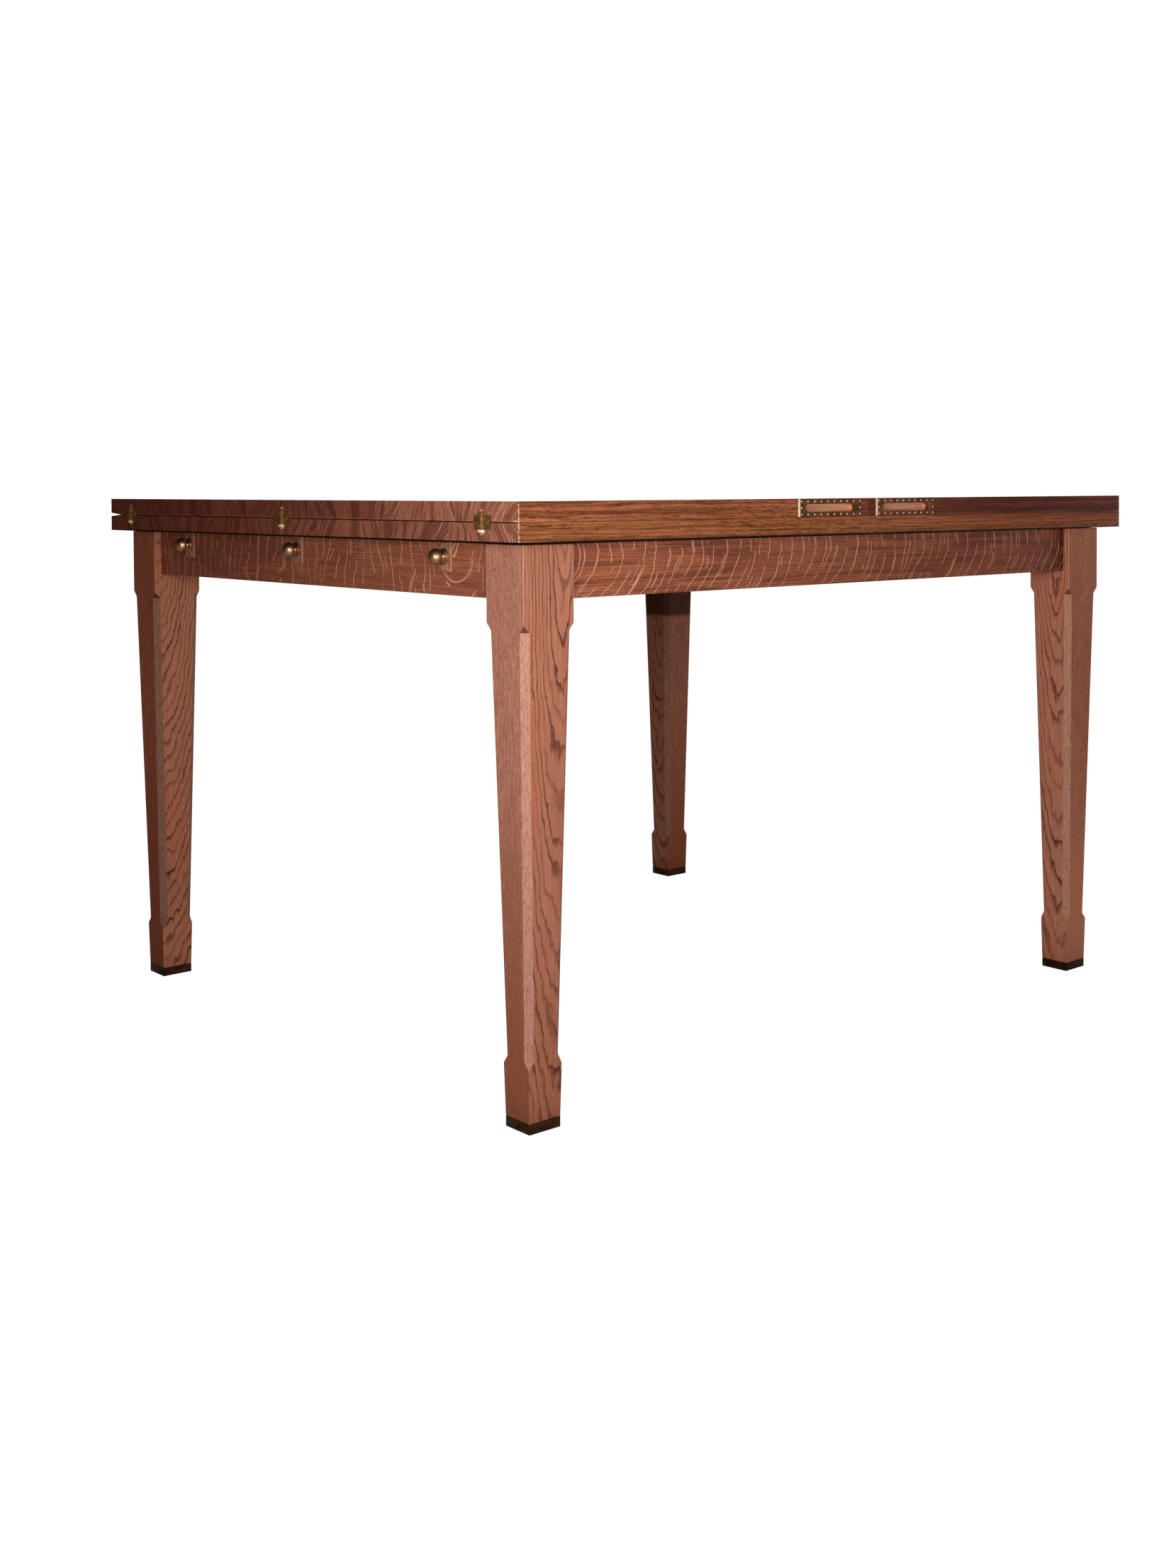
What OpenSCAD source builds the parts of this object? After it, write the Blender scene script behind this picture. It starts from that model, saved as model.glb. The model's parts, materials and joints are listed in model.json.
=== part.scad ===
/* [Overall] */
// Height of the closed table
table_h = 762; // [740:1:790]
// Length of the closed top, along X
top_len = 1194; // [1150:2:1300]
// Width of the top, along Y
top_wid = 1093; // [1060:1:1200]
// Thickness of each leaf and of the fixed top
board_t = 24.9; // [22:0.1:28]
// Shadow gap between the frame and the fixed top
shadow_gap = 1.6; // [1:0.1:3]

/* [Legs] */
// Side of the square block at the head of a leg
leg_head = 75; // [70:1:84]
// Overhang of the top past the outer faces of the legs
overhang = 25; // [15:1:40]
// Side of the leg at the floor, at the end of its straight taper
leg_foot = 46.5; // [42:0.5:60]
// Height at which the taper starts
taper_z = 618; // [560:2:640]
// Stopped chamfer on the four corners of the leg
chamfer = 8.3; // [4:0.1:10]
// Outer side of the brass shoe
shoe_w = 47.8; // [47.6:0.1:62]
// Height of the brass shoe
shoe_h = 13.4; // [10:0.2:30]

/* [Aprons] */
// Depth of the aprons
apron_h = 67.2; // [60:0.2:90]
// Thickness of the aprons
apron_t = 22; // [18:0.5:26]
// Set-back of the apron from the leg's outer face
reveal = 10.6; // [4:0.2:14]

/* [Lopers] */
// Width of a loper
loper_w = 29; // [24:0.5:34]
// Distance of the outer lopers from the middle of the table
loper_y = 345; // [320:1:355]
// Offset of the middle lopers, which pass each other side by side
loper_mid = 20; // [20:0.5:26]
// Travel of the outer lopers
travel_outer = 350; // [200:10:380]
// Travel of the middle lopers
travel_mid = 500; // [300:10:520]

/* [Leaves] */
// Distance of the outer hinges from the middle of the table
hinge_y = 474; // [440:1:490]
// Length of a pull plate
plate_len = 119.6; // [110:0.2:130]
// Height of a pull plate
plate_h = 23.6; // [20:0.1:23.8]
// Thickness of a pull plate
plate_t = 2.4; // [1.5:0.1:3]
// Length of the finger slot
slot_len = 94.6; // [80:0.2:96]
// Height of the finger slot
slot_h = 10.6; // [8:0.2:12]
// Depth of the finger pocket in the wood
pocket_d = 8; // [5:0.5:12]

/* [Playing surface] */
// Length of the baize field
baize_len = 960; // [800:10:1000]
// Width of the baize field
baize_wid = 860; // [700:10:900]

/* [Hidden] */

e = 0.01;
hx = top_len / 2;                 // half length of the top
hy = top_wid / 2;                 // half width of the top
z_axis = table_h - board_t - 0.1; // hinge axis, between leaf and fixed top
x_axis = hx + 0.15;               // hinge axis, just outside the end of the top
z_top_u = z_axis - 0.1;           // upper face of the fixed top
z_top_l = z_top_u - board_t;      // lower face of the fixed top
z_frame = z_top_l - shadow_gap;   // top of legs and aprons
lx = hx - overhang - leg_head / 2; // leg centres
ly = hy - overhang - leg_head / 2;
in_x = lx - leg_head / 2;         // inner faces of the legs
in_y = ly - leg_head / 2;
ax = hx - overhang - reveal;      // outer faces of the aprons
ay = hy - overhang - reveal;
z_apron = z_frame - apron_h;
z_stop_t = 614.7;                 // ends of the leg's chamfer, and where it is full
z_full_t = 605.5;
z_full_b = 88.2;
z_stop_b = 78.5;
loper_gap = 0.4;                  // clearance each side of a loper
z_loper = z_frame - 38.1;         // underside of a loper
z_loper_t = z_top_l - 0.3;        // top of a loper
z_chan = z_loper - 12.3;          // underside of a loper channel
wall = 10;                        // side walls of a loper channel
face_x = ax + 2;                  // front end of a loper
len_outer = face_x - 30;          // length of the outer lopers
len_mid = face_x + 200;           // length of the middle lopers
knob_z = z_frame - 18.6;
tenon_l = 30;
tenon_t = 9;

oak = [0.50, 0.27, 0.18];
oak_dark = [0.42, 0.22, 0.15];
oak_plain = [0.66, 0.50, 0.34];
brass = [0.55, 0.42, 0.20];
brass_bright = [0.78, 0.64, 0.38];
steel = [0.6, 0.6, 0.62];
green = [0.10, 0.32, 0.20];
black = [0.04, 0.04, 0.04];

module box(x0, x1, y0, y1, z0, z1) {
  translate([min(x0, x1), min(y0, y1), min(z0, z1)]) cube([abs(x1 - x0), abs(y1 - y0), abs(z1 - z0)]);
}

// ---------- legs ----------
function oct(s, c) = [
  [-s/2 + c, -s/2], [s/2 - c, -s/2], [s/2, -s/2 + c], [s/2, s/2 - c],
  [s/2 - c, s/2], [-s/2 + c, s/2], [-s/2, s/2 - c], [-s/2, -s/2 + c]];
module slice(s, c, z) {
  translate([0, 0, z]) linear_extrude(e) if (c > 0) polygon(oct(s, c)); else square(s, center = true);
}
module between(s0, c0, z0, s1, c1, z1) {
  hull() { slice(s0, c0, z0); slice(s1, c1, z1 - e); }
}
function leg_w(z) = leg_foot + (leg_head - leg_foot) * z / taper_z;
module leg_body() {
  box(-leg_head/2, leg_head/2, -leg_head/2, leg_head/2, taper_z, z_frame);
  between(leg_w(z_stop_t), 0, z_stop_t, leg_head, 0, taper_z + e);
  between(leg_w(z_full_t), chamfer, z_full_t, leg_w(z_stop_t), 0, z_stop_t + e);
  between(leg_w(z_full_b), chamfer, z_full_b, leg_w(z_full_t), chamfer, z_full_t + e);
  between(leg_w(z_stop_b), 0, z_stop_b, leg_w(z_full_b), chamfer, z_full_b + e);
  between(leg_w(shoe_h), 0, shoe_h, leg_w(z_stop_b), 0, z_stop_b + e);
  box(-shoe_w/2 + 1.8, shoe_w/2 - 1.8, -shoe_w/2 + 1.8, shoe_w/2 - 1.8, 1.7, shoe_h + e);
}
module leg(sx, sy) {
  color(oak) difference() {
    translate([sx*lx, sy*ly, 0]) leg_body();
    // mortises for the long and the short apron
    box(sx*(in_x - 1), sx*(in_x + tenon_l + 0.6), sy*(ay - apron_t/2 - tenon_t/2 - 0.1), sy*(ay - apron_t/2 + tenon_t/2 + 0.1), z_apron + 6.9, z_frame - 7.9);
    box(sx*(ax - apron_t/2 - tenon_t/2 - 0.1), sx*(ax - apron_t/2 + tenon_t/2 + 0.1), sy*(in_y - 1), sy*(in_y + tenon_l + 0.6), z_apron + 6.9, z_frame - 7.9);
    // hole for the leg bolt
    leg_bolt_axis(sx, sy) translate([0, 0, 11]) cylinder(r = 4.05, h = 60, $fn = 48);
    // pilot for the shoe screw
    translate([sx*lx, sy*ly, 0]) cylinder(r = 1.8, h = 24, $fn = 32);
  }
}
// z runs from the leg's centre towards the middle of the table, at 45 degrees in plan
module leg_bolt_axis(sx, sy) {
  translate([sx*lx, sy*ly, z_frame - 30]) rotate([0, 0, atan2(-sy, -sx)]) rotate([0, 90, 0]) children();
}
module shoe(sx, sy) {
  translate([sx*lx, sy*ly, 0]) difference() {
    box(-shoe_w/2, shoe_w/2, -shoe_w/2, shoe_w/2, 0, shoe_h - 0.1);
    box(-shoe_w/2 + 1.6, shoe_w/2 - 1.6, -shoe_w/2 + 1.6, shoe_w/2 - 1.6, 1.6, shoe_h + 1);
    translate([0, 0, -1]) cylinder(r = 2, h = 5, $fn = 32);
    translate([0, 0, -e]) cylinder(r1 = 3.7, r2 = 2, h = 1.5, $fn = 32);
  }
}
module foot_shoes() { color(brass) for (sx = [-1, 1], sy = [-1, 1]) shoe(sx, sy); }
module foot_shoe_screws() {
  color(steel) for (sx = [-1, 1], sy = [-1, 1]) translate([sx*lx, sy*ly, 0]) {
    translate([0, 0, 0.15]) cylinder(r1 = 3.5, r2 = 1.7, h = 1.5, $fn = 32);
    translate([0, 0, 1.6]) cylinder(r = 1.7, h = 20, $fn = 32);
  }
}

// ---------- aprons ----------
module apron_long(sy) {
  color(oak_dark) difference() {
    union() {
      box(-in_x, in_x, sy*(ay - apron_t), sy*ay, z_apron, z_frame);
      box(-in_x - tenon_l, in_x + tenon_l, sy*(ay - apron_t/2 - tenon_t/2), sy*(ay - apron_t/2 + tenon_t/2), z_apron + 7, z_frame - 8);
    }
    // slots for the top buttons
    for (x = [-300, 0, 300]) box(x - 17, x + 17, sy*(ay - apron_t - 1), sy*(ay - apron_t + 8), z_frame - 13, z_frame - 5);
    // housing for the centre rail
    box(-25.2, 25.2, sy*(ay - apron_t - 1), sy*(ay - apron_t + 10.3), z_apron + 3.6, z_apron + 14.2);
  }
}
// centres of the lopers that come out at one end: the middle one is off centre
function loper_rows(sx) = [-loper_y, -sx*loper_mid, loper_y];
module apron_short(sx) {
  color(oak_dark) difference() {
    union() {
      box(sx*(ax - apron_t), sx*ax, -in_y, in_y, z_apron, z_frame);
      box(sx*(ax - apron_t/2 - tenon_t/2), sx*(ax - apron_t/2 + tenon_t/2), -in_y - tenon_l, in_y + tenon_l, z_apron + 7, z_frame - 8);
    }
    for (y = loper_rows(sx)) box(sx*(ax - apron_t - 1), sx*(ax + 1), y - loper_w/2 - loper_gap, y + loper_w/2 + loper_gap, z_loper - 0.3, z_frame + 1);
    for (y = [-180, 180]) box(sx*(ax - apron_t - 1), sx*(ax - apron_t + 8), y - 17, y + 17, z_frame - 13, z_frame - 5);
  }
}

// ---------- corner braces and leg bolts ----------
b0 = leg_head/2 + 2;       // brace's near face, along the leg's diagonal, per axis
b1 = leg_head/2 + 16.15;   // its far face
module corner_brace(sx, sy) {
  u0 = -lx - ly + 2*b0;  // x + y of the near face, in the front left quadrant
  u1 = -lx - ly + 2*b1;
  xi = -(ax - apron_t);
  yi = -(ay - apron_t);
  color(oak_plain) difference() {
    scale([-sx, -sy, 1]) translate([0, 0, z_apron + 9]) linear_extrude(apron_h - 16)
      polygon([[u0 - yi, yi], [u1 - yi, yi], [xi, u1 - xi], [xi, u0 - xi]]);
    leg_bolt_axis(sx, sy) cylinder(r = 4.4, h = 110, $fn = 48);
  }
}
module leg_bolts() {
  d0 = b1 * sqrt(2);
  color(steel) for (sx = [-1, 1], sy = [-1, 1]) leg_bolt_axis(sx, sy) {
    translate([0, 0, 18]) cylinder(r = 4, h = d0 + 14 - 18, $fn = 48);
    translate([0, 0, d0 + 0.05]) difference() { cylinder(r = 11, h = 1.6, $fn = 48); translate([0, 0, -1]) cylinder(r = 4.2, h = 4, $fn = 48); }
    translate([0, 0, d0 + 1.7]) difference() { cylinder(r = 7.4, h = 6.6, $fn = 6); translate([0, 0, -1]) cylinder(r = 4.1, h = 9, $fn = 48); }
  }
}

// ---------- loper supports ----------
module loper_ledger(sx) {
  color(oak_plain) box(sx*(ax - apron_t - 18), sx*(ax - apron_t), -loper_y - 25, loper_y + 25, z_apron + 0.8, z_chan);
}
module centre_rail() {
  color(oak_plain) {
    box(-35, 35, -(ay - apron_t), ay - apron_t, z_apron + 0.8, z_chan);
    box(-25, 25, -(ay - apron_t + 10), ay - apron_t + 10, z_apron + 3.8, z_apron + 14);
  }
}
ch = loper_w/2 + loper_gap;  // half width of a groove
module groove(y) { box(-hx, hx, y - ch, y + ch, z_loper - 0.3, z_frame + 1); }
// slot that the stop pin runs in: sx is the end that the loper comes out of
module pin_slot(sx, y, inner, travel) {
  xa = sx*(inner - 5.3);
  xb = sx*(inner + travel + 5.3);
  box(xa, xb, y - 5, y + 5, z_chan - 1, z_loper);
}
pin_outer = 60;             // stop pin of an outer loper, from the middle of the table
pin_mid = -170;             // and of a middle loper
module loper_channel(y) {
  color(oak_plain) difference() {
    box(-(ax - apron_t), ax - apron_t, y - ch - wall, y + ch + wall, z_chan, z_frame);
    groove(y);
    for (sx = [-1, 1]) pin_slot(sx, y, pin_outer, travel_outer);
  }
}
module loper_channel_middle() {
  color(oak_plain) difference() {
    box(-(ax - apron_t), ax - apron_t, -loper_mid - ch - wall, loper_mid + ch + wall, z_chan, z_frame);
    for (sx = [-1, 1]) { groove(-sx*loper_mid); pin_slot(sx, -sx*loper_mid, pin_mid, travel_mid); }
  }
}

// ---------- lopers ----------
module loper(sx, y, length, pin_x) {
  color(oak) difference() {
    box(sx*(face_x - length), sx*face_x, y - loper_w/2, y + loper_w/2, z_loper, z_loper_t);
    // the upper front edge is eased so that the leaf rides up on it
    translate([sx*face_x, y, z_loper_t]) rotate([0, 45, 0]) cube([2.6, loper_w + 2, 2.6], center = true);
    translate([sx*(face_x + 1), y, knob_z]) rotate([0, -sx*90, 0]) cylinder(r = 2.1, h = 29, $fn = 32);
    translate([sx*pin_x, y, z_loper - 1]) cylinder(r = 4.75, h = 19, $fn = 48);
  }
}
module stop_pin(sx, y, pin_x) {
  color(oak_plain) translate([sx*pin_x, y, z_chan + 1]) cylinder(r = 4.7, h = z_loper + 17.5 - z_chan - 1, $fn = 48);
}
knob_profile = [
  [0, -25], [2, -25], [2, 0], [10.2, 0], [10.6, 0.7], [10.5, 1.6], [9.6, 2.1], [8.9, 2.3], [8.7, 3.2], [7.9, 3.8],
  [6.2, 4.3], [5.2, 5.2], [4.8, 6.4], [5.0, 7.6], [6.0, 8.6], [8.2, 9.3], [9.9, 10.4], [10.6, 12.0], [10.6, 13.6],
  [10.0, 16.0], [8.7, 18.4], [6.6, 20.5], [3.8, 22.0], [0, 22.6]];
module knob(sx, y) {
  color(brass_bright) translate([sx*face_x, y, knob_z]) rotate([0, sx*90, 0]) rotate_extrude($fn = 72) polygon(knob_profile);
}

// ---------- fixed top ----------
buttons = [for (sy = [-1, 1], x = [-300, 0, 300]) [x, sy*(ay - apron_t - 15), 0, sy],
           for (sx = [-1, 1], y = [-180, 180]) [sx*(ax - apron_t - 15), y, sx, 0]];
module top_buttons() {
  color(oak_plain) for (b = buttons) difference() {
    union() {
      translate([b[0] - 14.6, b[1] - 14.6, z_frame - 12.4]) cube([29.2, 29.2, z_top_l - z_frame + 12.4]);
      translate([b[0] + b[2]*18 - (b[2] == 0 ? 14 : 4), b[1] + b[3]*18 - (b[3] == 0 ? 14 : 4), z_frame - 12.4]) cube([b[2] == 0 ? 28 : 8, b[3] == 0 ? 28 : 8, 6.8]);
    }
    translate([b[0], b[1], z_frame - 14]) cylinder(r = 2.3, h = 20, $fn = 32);
    translate([b[0], b[1], z_frame - 12.41]) cylinder(r1 = 4.4, r2 = 2.2, h = 2.4, $fn = 32);
  }
}
module top_button_screws() {
  color(steel) for (b = buttons) translate([b[0], b[1], z_frame - 12.2]) {
    cylinder(r1 = 4.1, r2 = 2, h = 2.2, $fn = 32);
    translate([0, 0, 2.2 - e]) cylinder(r = 2, h = 28, $fn = 32);
  }
}
module packing_strips() {
  z0 = z_frame; z1 = z_top_l;
  color(black) {
    for (sy = [-1, 1]) box(-in_x + 4, in_x - 4, sy*(ay - 5), sy*(ay - apron_t + 4), z0, z1);
    for (sx = [-1, 1], sy = [-1, 1]) box(sx*(in_x + 6), sx*(in_x + leg_head - 9), sy*(in_y + 6), sy*(in_y + leg_head - 9), z0, z1);
    for (sx = [-1, 1]) {
      r = loper_rows(sx);
      c = ch + 2;
      for (s = [[-in_y + 4, r[0] - c], [r[0] + c, r[1] - c], [r[1] + c, r[2] - c], [r[2] + c, in_y - 4]])
        box(sx*(ax - 5), sx*(ax - apron_t + 4), s[0], s[1], z0, z1);
    }
  }
}
// wedge that eases the two back corners of the joint between leaf and fixed top
module corner_ease(sx) {
  d = 34;
  h = 2.8;
  for (s = [-1, 1]) translate([sx*hx, hy, z_axis]) scale([-sx, -1, s]) translate([-1, -1, -0.5])
    hull() {
      cube([e, e, h + 0.5]);
      cube([d, e, 0.5]);
      cube([e, d, 0.5]);
    }
}
hinge_rows = [-hinge_y, 0, hinge_y];
module about_axis(sx, y) { translate([sx*x_axis, y, z_axis]) rotate([90, 0, 0]) children(); }
slot_r = 15.6;   // radius of the slot that the strap swings in
slot_w = 4.7;    // its half width
half_w = 18;     // half width of a hinge half
half_d = 17.2;   // its depth into the board
half_h = 8.5;    // its height on the board's end
// mortise for one half of a hinge: v = -1 in the fixed top, 1 in the leaf
module hinge_mortise(sx, y, v) {
  box(sx*(x_axis - half_d - 0.2), sx*(hx + 1), y - half_w - 0.2, y + half_w + 0.2, z_axis - v, z_axis + v*(half_h + 0.2));
  about_axis(sx, y) cylinder(r = slot_r, h = 2*slot_w, center = true, $fn = 96);
}
module fixed_top() {
  color(oak) difference() {
    box(-hx, hx, -hy, hy, z_top_l, z_top_u);
    box(-baize_len/2, baize_len/2, -baize_wid/2, baize_wid/2, z_top_u - 1.4, z_axis + 1);
    for (sx = [-1, 1], y = hinge_rows) hinge_mortise(sx, y, -1);
    for (b = buttons) translate([b[0], b[1], z_top_l - 1]) cylinder(r = 2.05, h = 18, $fn = 32);
    for (sx = [-1, 1]) corner_ease(sx);
  }
}
module baize() {
  color(green) box(-baize_len/2 + 0.2, baize_len/2 - 0.2, -baize_wid/2 + 0.2, baize_wid/2 - 0.2, z_top_u - 1.4, z_top_u + 0.04);
}

// ---------- hinges ----------
knuckle_r = 2;
pin_r = 1;
kn = [[4.8, 9], [9.2, 13.4]];   // knuckles along the pin: those of the fixed top, those of the leaf
// one half of each hinge: v = -1 in the fixed top, 1 in the leaf
module hinge_half(sx, v) {
  own = v < 0 ? 0 : 1;
  color(brass) for (y = hinge_rows) difference() {
    union() {
      difference() {
        box(sx*(x_axis - half_d), sx*hx, y - half_w, y + half_w, z_axis + v*0.1, z_axis + v*half_h);
        about_axis(sx, y) cylinder(r = slot_r, h = 2*slot_w, center = true, $fn = 96);
        for (t = [-1, 1]) {
          about_axis(sx, y) translate([0, 0, t*(kn[1 - own][0] + kn[1 - own][1])/2]) cylinder(r = knuckle_r + 0.3, h = 4.5, center = true, $fn = 48);
          box(sx*(hx - 2.4), sx*(hx + 1), y + t*13.6, y + t*19, z_axis, z_axis + v*1.3);
        }
      }
      for (t = [-1, 1]) about_axis(sx, y) translate([0, 0, t*(kn[own][0] + kn[own][1])/2]) cylinder(r = knuckle_r, h = 4.2, center = true, $fn = 48);
    }
    about_axis(sx, y) cylinder(r = pin_r + 0.05, h = 40, center = true, $fn = 48);
  }
}
module hinge_pins(sx) {
  color(steel) for (y = hinge_rows) about_axis(sx, y) cylinder(r = pin_r, h = 26.8, center = true, $fn = 48);
}
strap_h = 12.6;   // half height of the strap
strap_t = 4.2;    // its thickness
// strap that covers the slots: it stands on the ends at rest and lies flush in the playing surface when a leaf is open
module hinge_straps(sx) {
  color(brass_bright) for (y = hinge_rows) translate([sx*x_axis, y, z_axis]) difference() {
    union() {
      box(0, sx*strap_t, -4.3, 4.3, -strap_h, strap_h);
      rotate([90, 0, 0]) cylinder(r = knuckle_r, h = 8.6, center = true, $fn = 48);
    }
    rotate([90, 0, 0]) cylinder(r = pin_r + 0.05, h = 20, center = true, $fn = 48);
    for (t = [-1, 1]) {
      translate([sx*strap_t, 0, t*strap_h]) rotate([0, 45, 0]) cube([3.4, 12, 3.4], center = true);
      translate([sx*strap_t, t*4.3, 0]) rotate([0, 0, 45]) cube([1.2, 1.2, 40], center = true);
    }
  }
}

// ---------- leaves ----------
plate_c = 16.8 + plate_len/2;  // middle of a pull plate, from the joint between the leaves
pin_cols = 10;
pin_step = (plate_len - 5.6) / (pin_cols - 1);
z_plate = z_axis + 12.35;
pins = [for (i = [0:pin_cols - 1], s = [-1, 1]) [(i - (pin_cols - 1)/2)*pin_step, s*8.8],
        for (i = [0, pin_cols - 1]) [(i - (pin_cols - 1)/2)*pin_step, 0]];
module stadium(l, h) {
  union() { square([l - h, h], center = true); for (s = [-1, 1]) translate([s*(l - h)/2, 0]) circle(d = h, $fn = 64); }
}
// local frame of a pull plate: x along the leaf, y up, z out of the leaf's edge
module on_edge(sx, sy) {
  translate([sx*plate_c, sy*hy, z_plate]) rotate([90, 0, sy < 0 ? 0 : 180]) children();
}
module pull_plate(sx, sy) {
  color(brass) on_edge(sx, sy) difference() {
    linear_extrude(plate_t) difference() { square([plate_len, plate_h], center = true); stadium(slot_len, slot_h); }
    for (p = pins) translate([p[0], p[1], -1]) cylinder(r = 0.8, h = plate_t + 2, $fn = 24);
  }
}
module pull_pins(sx) {
  color(brass_bright) for (sy = [-1, 1]) on_edge(sx, sy) for (p = pins) translate([p[0], p[1], plate_t]) {
    rotate_extrude($fn = 32) polygon([[0, -10], [0.65, -10], [0.65, 0], [1.9, 0], [1.8, 0.45], [1.4, 0.85], [0.8, 1.1], [0, 1.2]]);
  }
}
module leaf(sx) {
  color(oak) difference() {
    box(sx*0.4, sx*hx, -hy, hy, z_axis + 0.1, table_h);
    for (y = hinge_rows) hinge_mortise(sx, y, 1);
    for (sy = [-1, 1]) on_edge(sx, sy) {
      translate([0, 0, -pocket_d]) linear_extrude(pocket_d + 1) stadium(slot_len, slot_h);
      for (p = pins) translate([p[0], p[1], -9]) cylinder(r = 0.7, h = 10, $fn = 24);
    }
    corner_ease(sx);
  }
}

leg(-1, -1);  // leg_front_left
leg(-1, 1);  // leg_back_left
leg(1, -1);  // leg_front_right
leg(1, 1);  // leg_back_right
foot_shoes();
foot_shoe_screws();
apron_long(-1);  // apron_front
apron_long(1);  // apron_back
apron_short(-1);  // apron_left
apron_short(1);  // apron_right
corner_brace(-1, -1);  // corner_brace_front_left
corner_brace(-1, 1);  // corner_brace_back_left
corner_brace(1, -1);  // corner_brace_front_right
corner_brace(1, 1);  // corner_brace_back_right
leg_bolts();
loper_ledger(-1);  // loper_ledger_left
loper_ledger(1);  // loper_ledger_right
centre_rail();
loper_channel(-loper_y);  // loper_channel_front
loper_channel_middle();
loper_channel(loper_y);  // loper_channel_back
packing_strips();
top_buttons();
top_button_screws();
fixed_top();
baize();
hinge_half(-1, -1);  // hinge_halves_top_left
hinge_half(1, -1);  // hinge_halves_top_right
hinge_pins(-1);  // hinge_pins_left
hinge_pins(1);  // hinge_pins_right
hinge_straps(-1);  // hinge_straps_left
hinge_straps(1);  // hinge_straps_right
leaf(-1);  // leaf_left
leaf(1);  // leaf_right
hinge_half(-1, 1);  // hinge_halves_leaf_left
hinge_half(1, 1);  // hinge_halves_leaf_right
pull_plate(-1, -1);  // pull_plate_left_front
pull_plate(-1, 1);  // pull_plate_left_back
pull_plate(1, -1);  // pull_plate_right_front
pull_plate(1, 1);  // pull_plate_right_back
pull_pins(-1);  // pull_pins_left
pull_pins(1);  // pull_pins_right
loper(-1, -loper_y, len_outer, pin_outer);  // loper_left_front
loper(-1, loper_mid, len_mid, pin_mid);  // loper_left_middle
loper(-1, loper_y, len_outer, pin_outer);  // loper_left_back
loper(1, -loper_y, len_outer, pin_outer);  // loper_right_front
loper(1, -loper_mid, len_mid, pin_mid);  // loper_right_middle
loper(1, loper_y, len_outer, pin_outer);  // loper_right_back
knob(-1, -loper_y);  // knob_left_front
knob(-1, loper_mid);  // knob_left_middle
knob(-1, loper_y);  // knob_left_back
knob(1, -loper_y);  // knob_right_front
knob(1, -loper_mid);  // knob_right_middle
knob(1, loper_y);  // knob_right_back
stop_pin(-1, -loper_y, pin_outer);  // stop_pin_left_front
stop_pin(-1, loper_mid, pin_mid);  // stop_pin_left_middle
stop_pin(-1, loper_y, pin_outer);  // stop_pin_left_back
stop_pin(1, -loper_y, pin_outer);  // stop_pin_right_front
stop_pin(1, -loper_mid, pin_mid);  // stop_pin_right_middle
stop_pin(1, loper_y, pin_outer);  // stop_pin_right_back
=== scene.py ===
"""Looks for the fold-over gaming table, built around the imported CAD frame."""
import bpy
import bmesh
import json
import math
from mathutils import Matrix, Vector

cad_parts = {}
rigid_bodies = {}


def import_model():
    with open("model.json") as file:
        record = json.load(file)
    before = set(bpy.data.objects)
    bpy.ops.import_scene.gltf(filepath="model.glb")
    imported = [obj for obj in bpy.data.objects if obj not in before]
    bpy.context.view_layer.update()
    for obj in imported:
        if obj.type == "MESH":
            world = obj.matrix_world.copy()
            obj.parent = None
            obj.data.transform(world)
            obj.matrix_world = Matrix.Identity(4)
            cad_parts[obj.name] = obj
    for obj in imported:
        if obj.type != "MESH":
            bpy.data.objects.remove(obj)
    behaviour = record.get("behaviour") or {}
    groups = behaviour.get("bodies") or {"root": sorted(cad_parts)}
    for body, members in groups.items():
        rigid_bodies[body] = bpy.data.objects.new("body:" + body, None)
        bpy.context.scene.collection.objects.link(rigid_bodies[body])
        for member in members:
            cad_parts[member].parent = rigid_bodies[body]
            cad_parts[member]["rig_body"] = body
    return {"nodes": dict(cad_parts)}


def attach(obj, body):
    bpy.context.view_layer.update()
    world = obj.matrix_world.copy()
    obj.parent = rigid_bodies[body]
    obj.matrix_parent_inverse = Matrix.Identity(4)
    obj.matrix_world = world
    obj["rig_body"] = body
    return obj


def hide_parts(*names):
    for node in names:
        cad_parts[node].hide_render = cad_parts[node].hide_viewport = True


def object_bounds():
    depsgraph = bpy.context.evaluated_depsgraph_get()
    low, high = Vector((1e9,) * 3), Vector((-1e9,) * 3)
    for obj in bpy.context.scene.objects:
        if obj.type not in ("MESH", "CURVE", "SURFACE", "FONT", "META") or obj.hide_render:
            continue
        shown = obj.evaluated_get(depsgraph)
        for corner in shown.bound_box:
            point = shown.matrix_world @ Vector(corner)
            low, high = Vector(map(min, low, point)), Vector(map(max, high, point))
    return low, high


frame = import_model()
cad_box = [[float(c) for c in v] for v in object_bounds()]
nodes = frame["nodes"]
node_body = {n: o["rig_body"] for n, o in nodes.items()}
(lo_x, lo_y, lo_z), (hi_x, hi_y, hi_z) = cad_box
HINGE_Y = [-0.474, 0.0, 0.474]


# ---------------------------------------------------------------- shader kit
def lin(r, g, b, k=1.0):
    """An sRGB colour, 0 to 255, as linear RGBA, times k."""
    def one(c):
        c = c / 255.0
        return c / 12.92 if c <= 0.04045 else ((c + 0.055) / 1.055) ** 2.4
    return (one(r) * k, one(g) * k, one(b) * k, 1.0)


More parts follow.
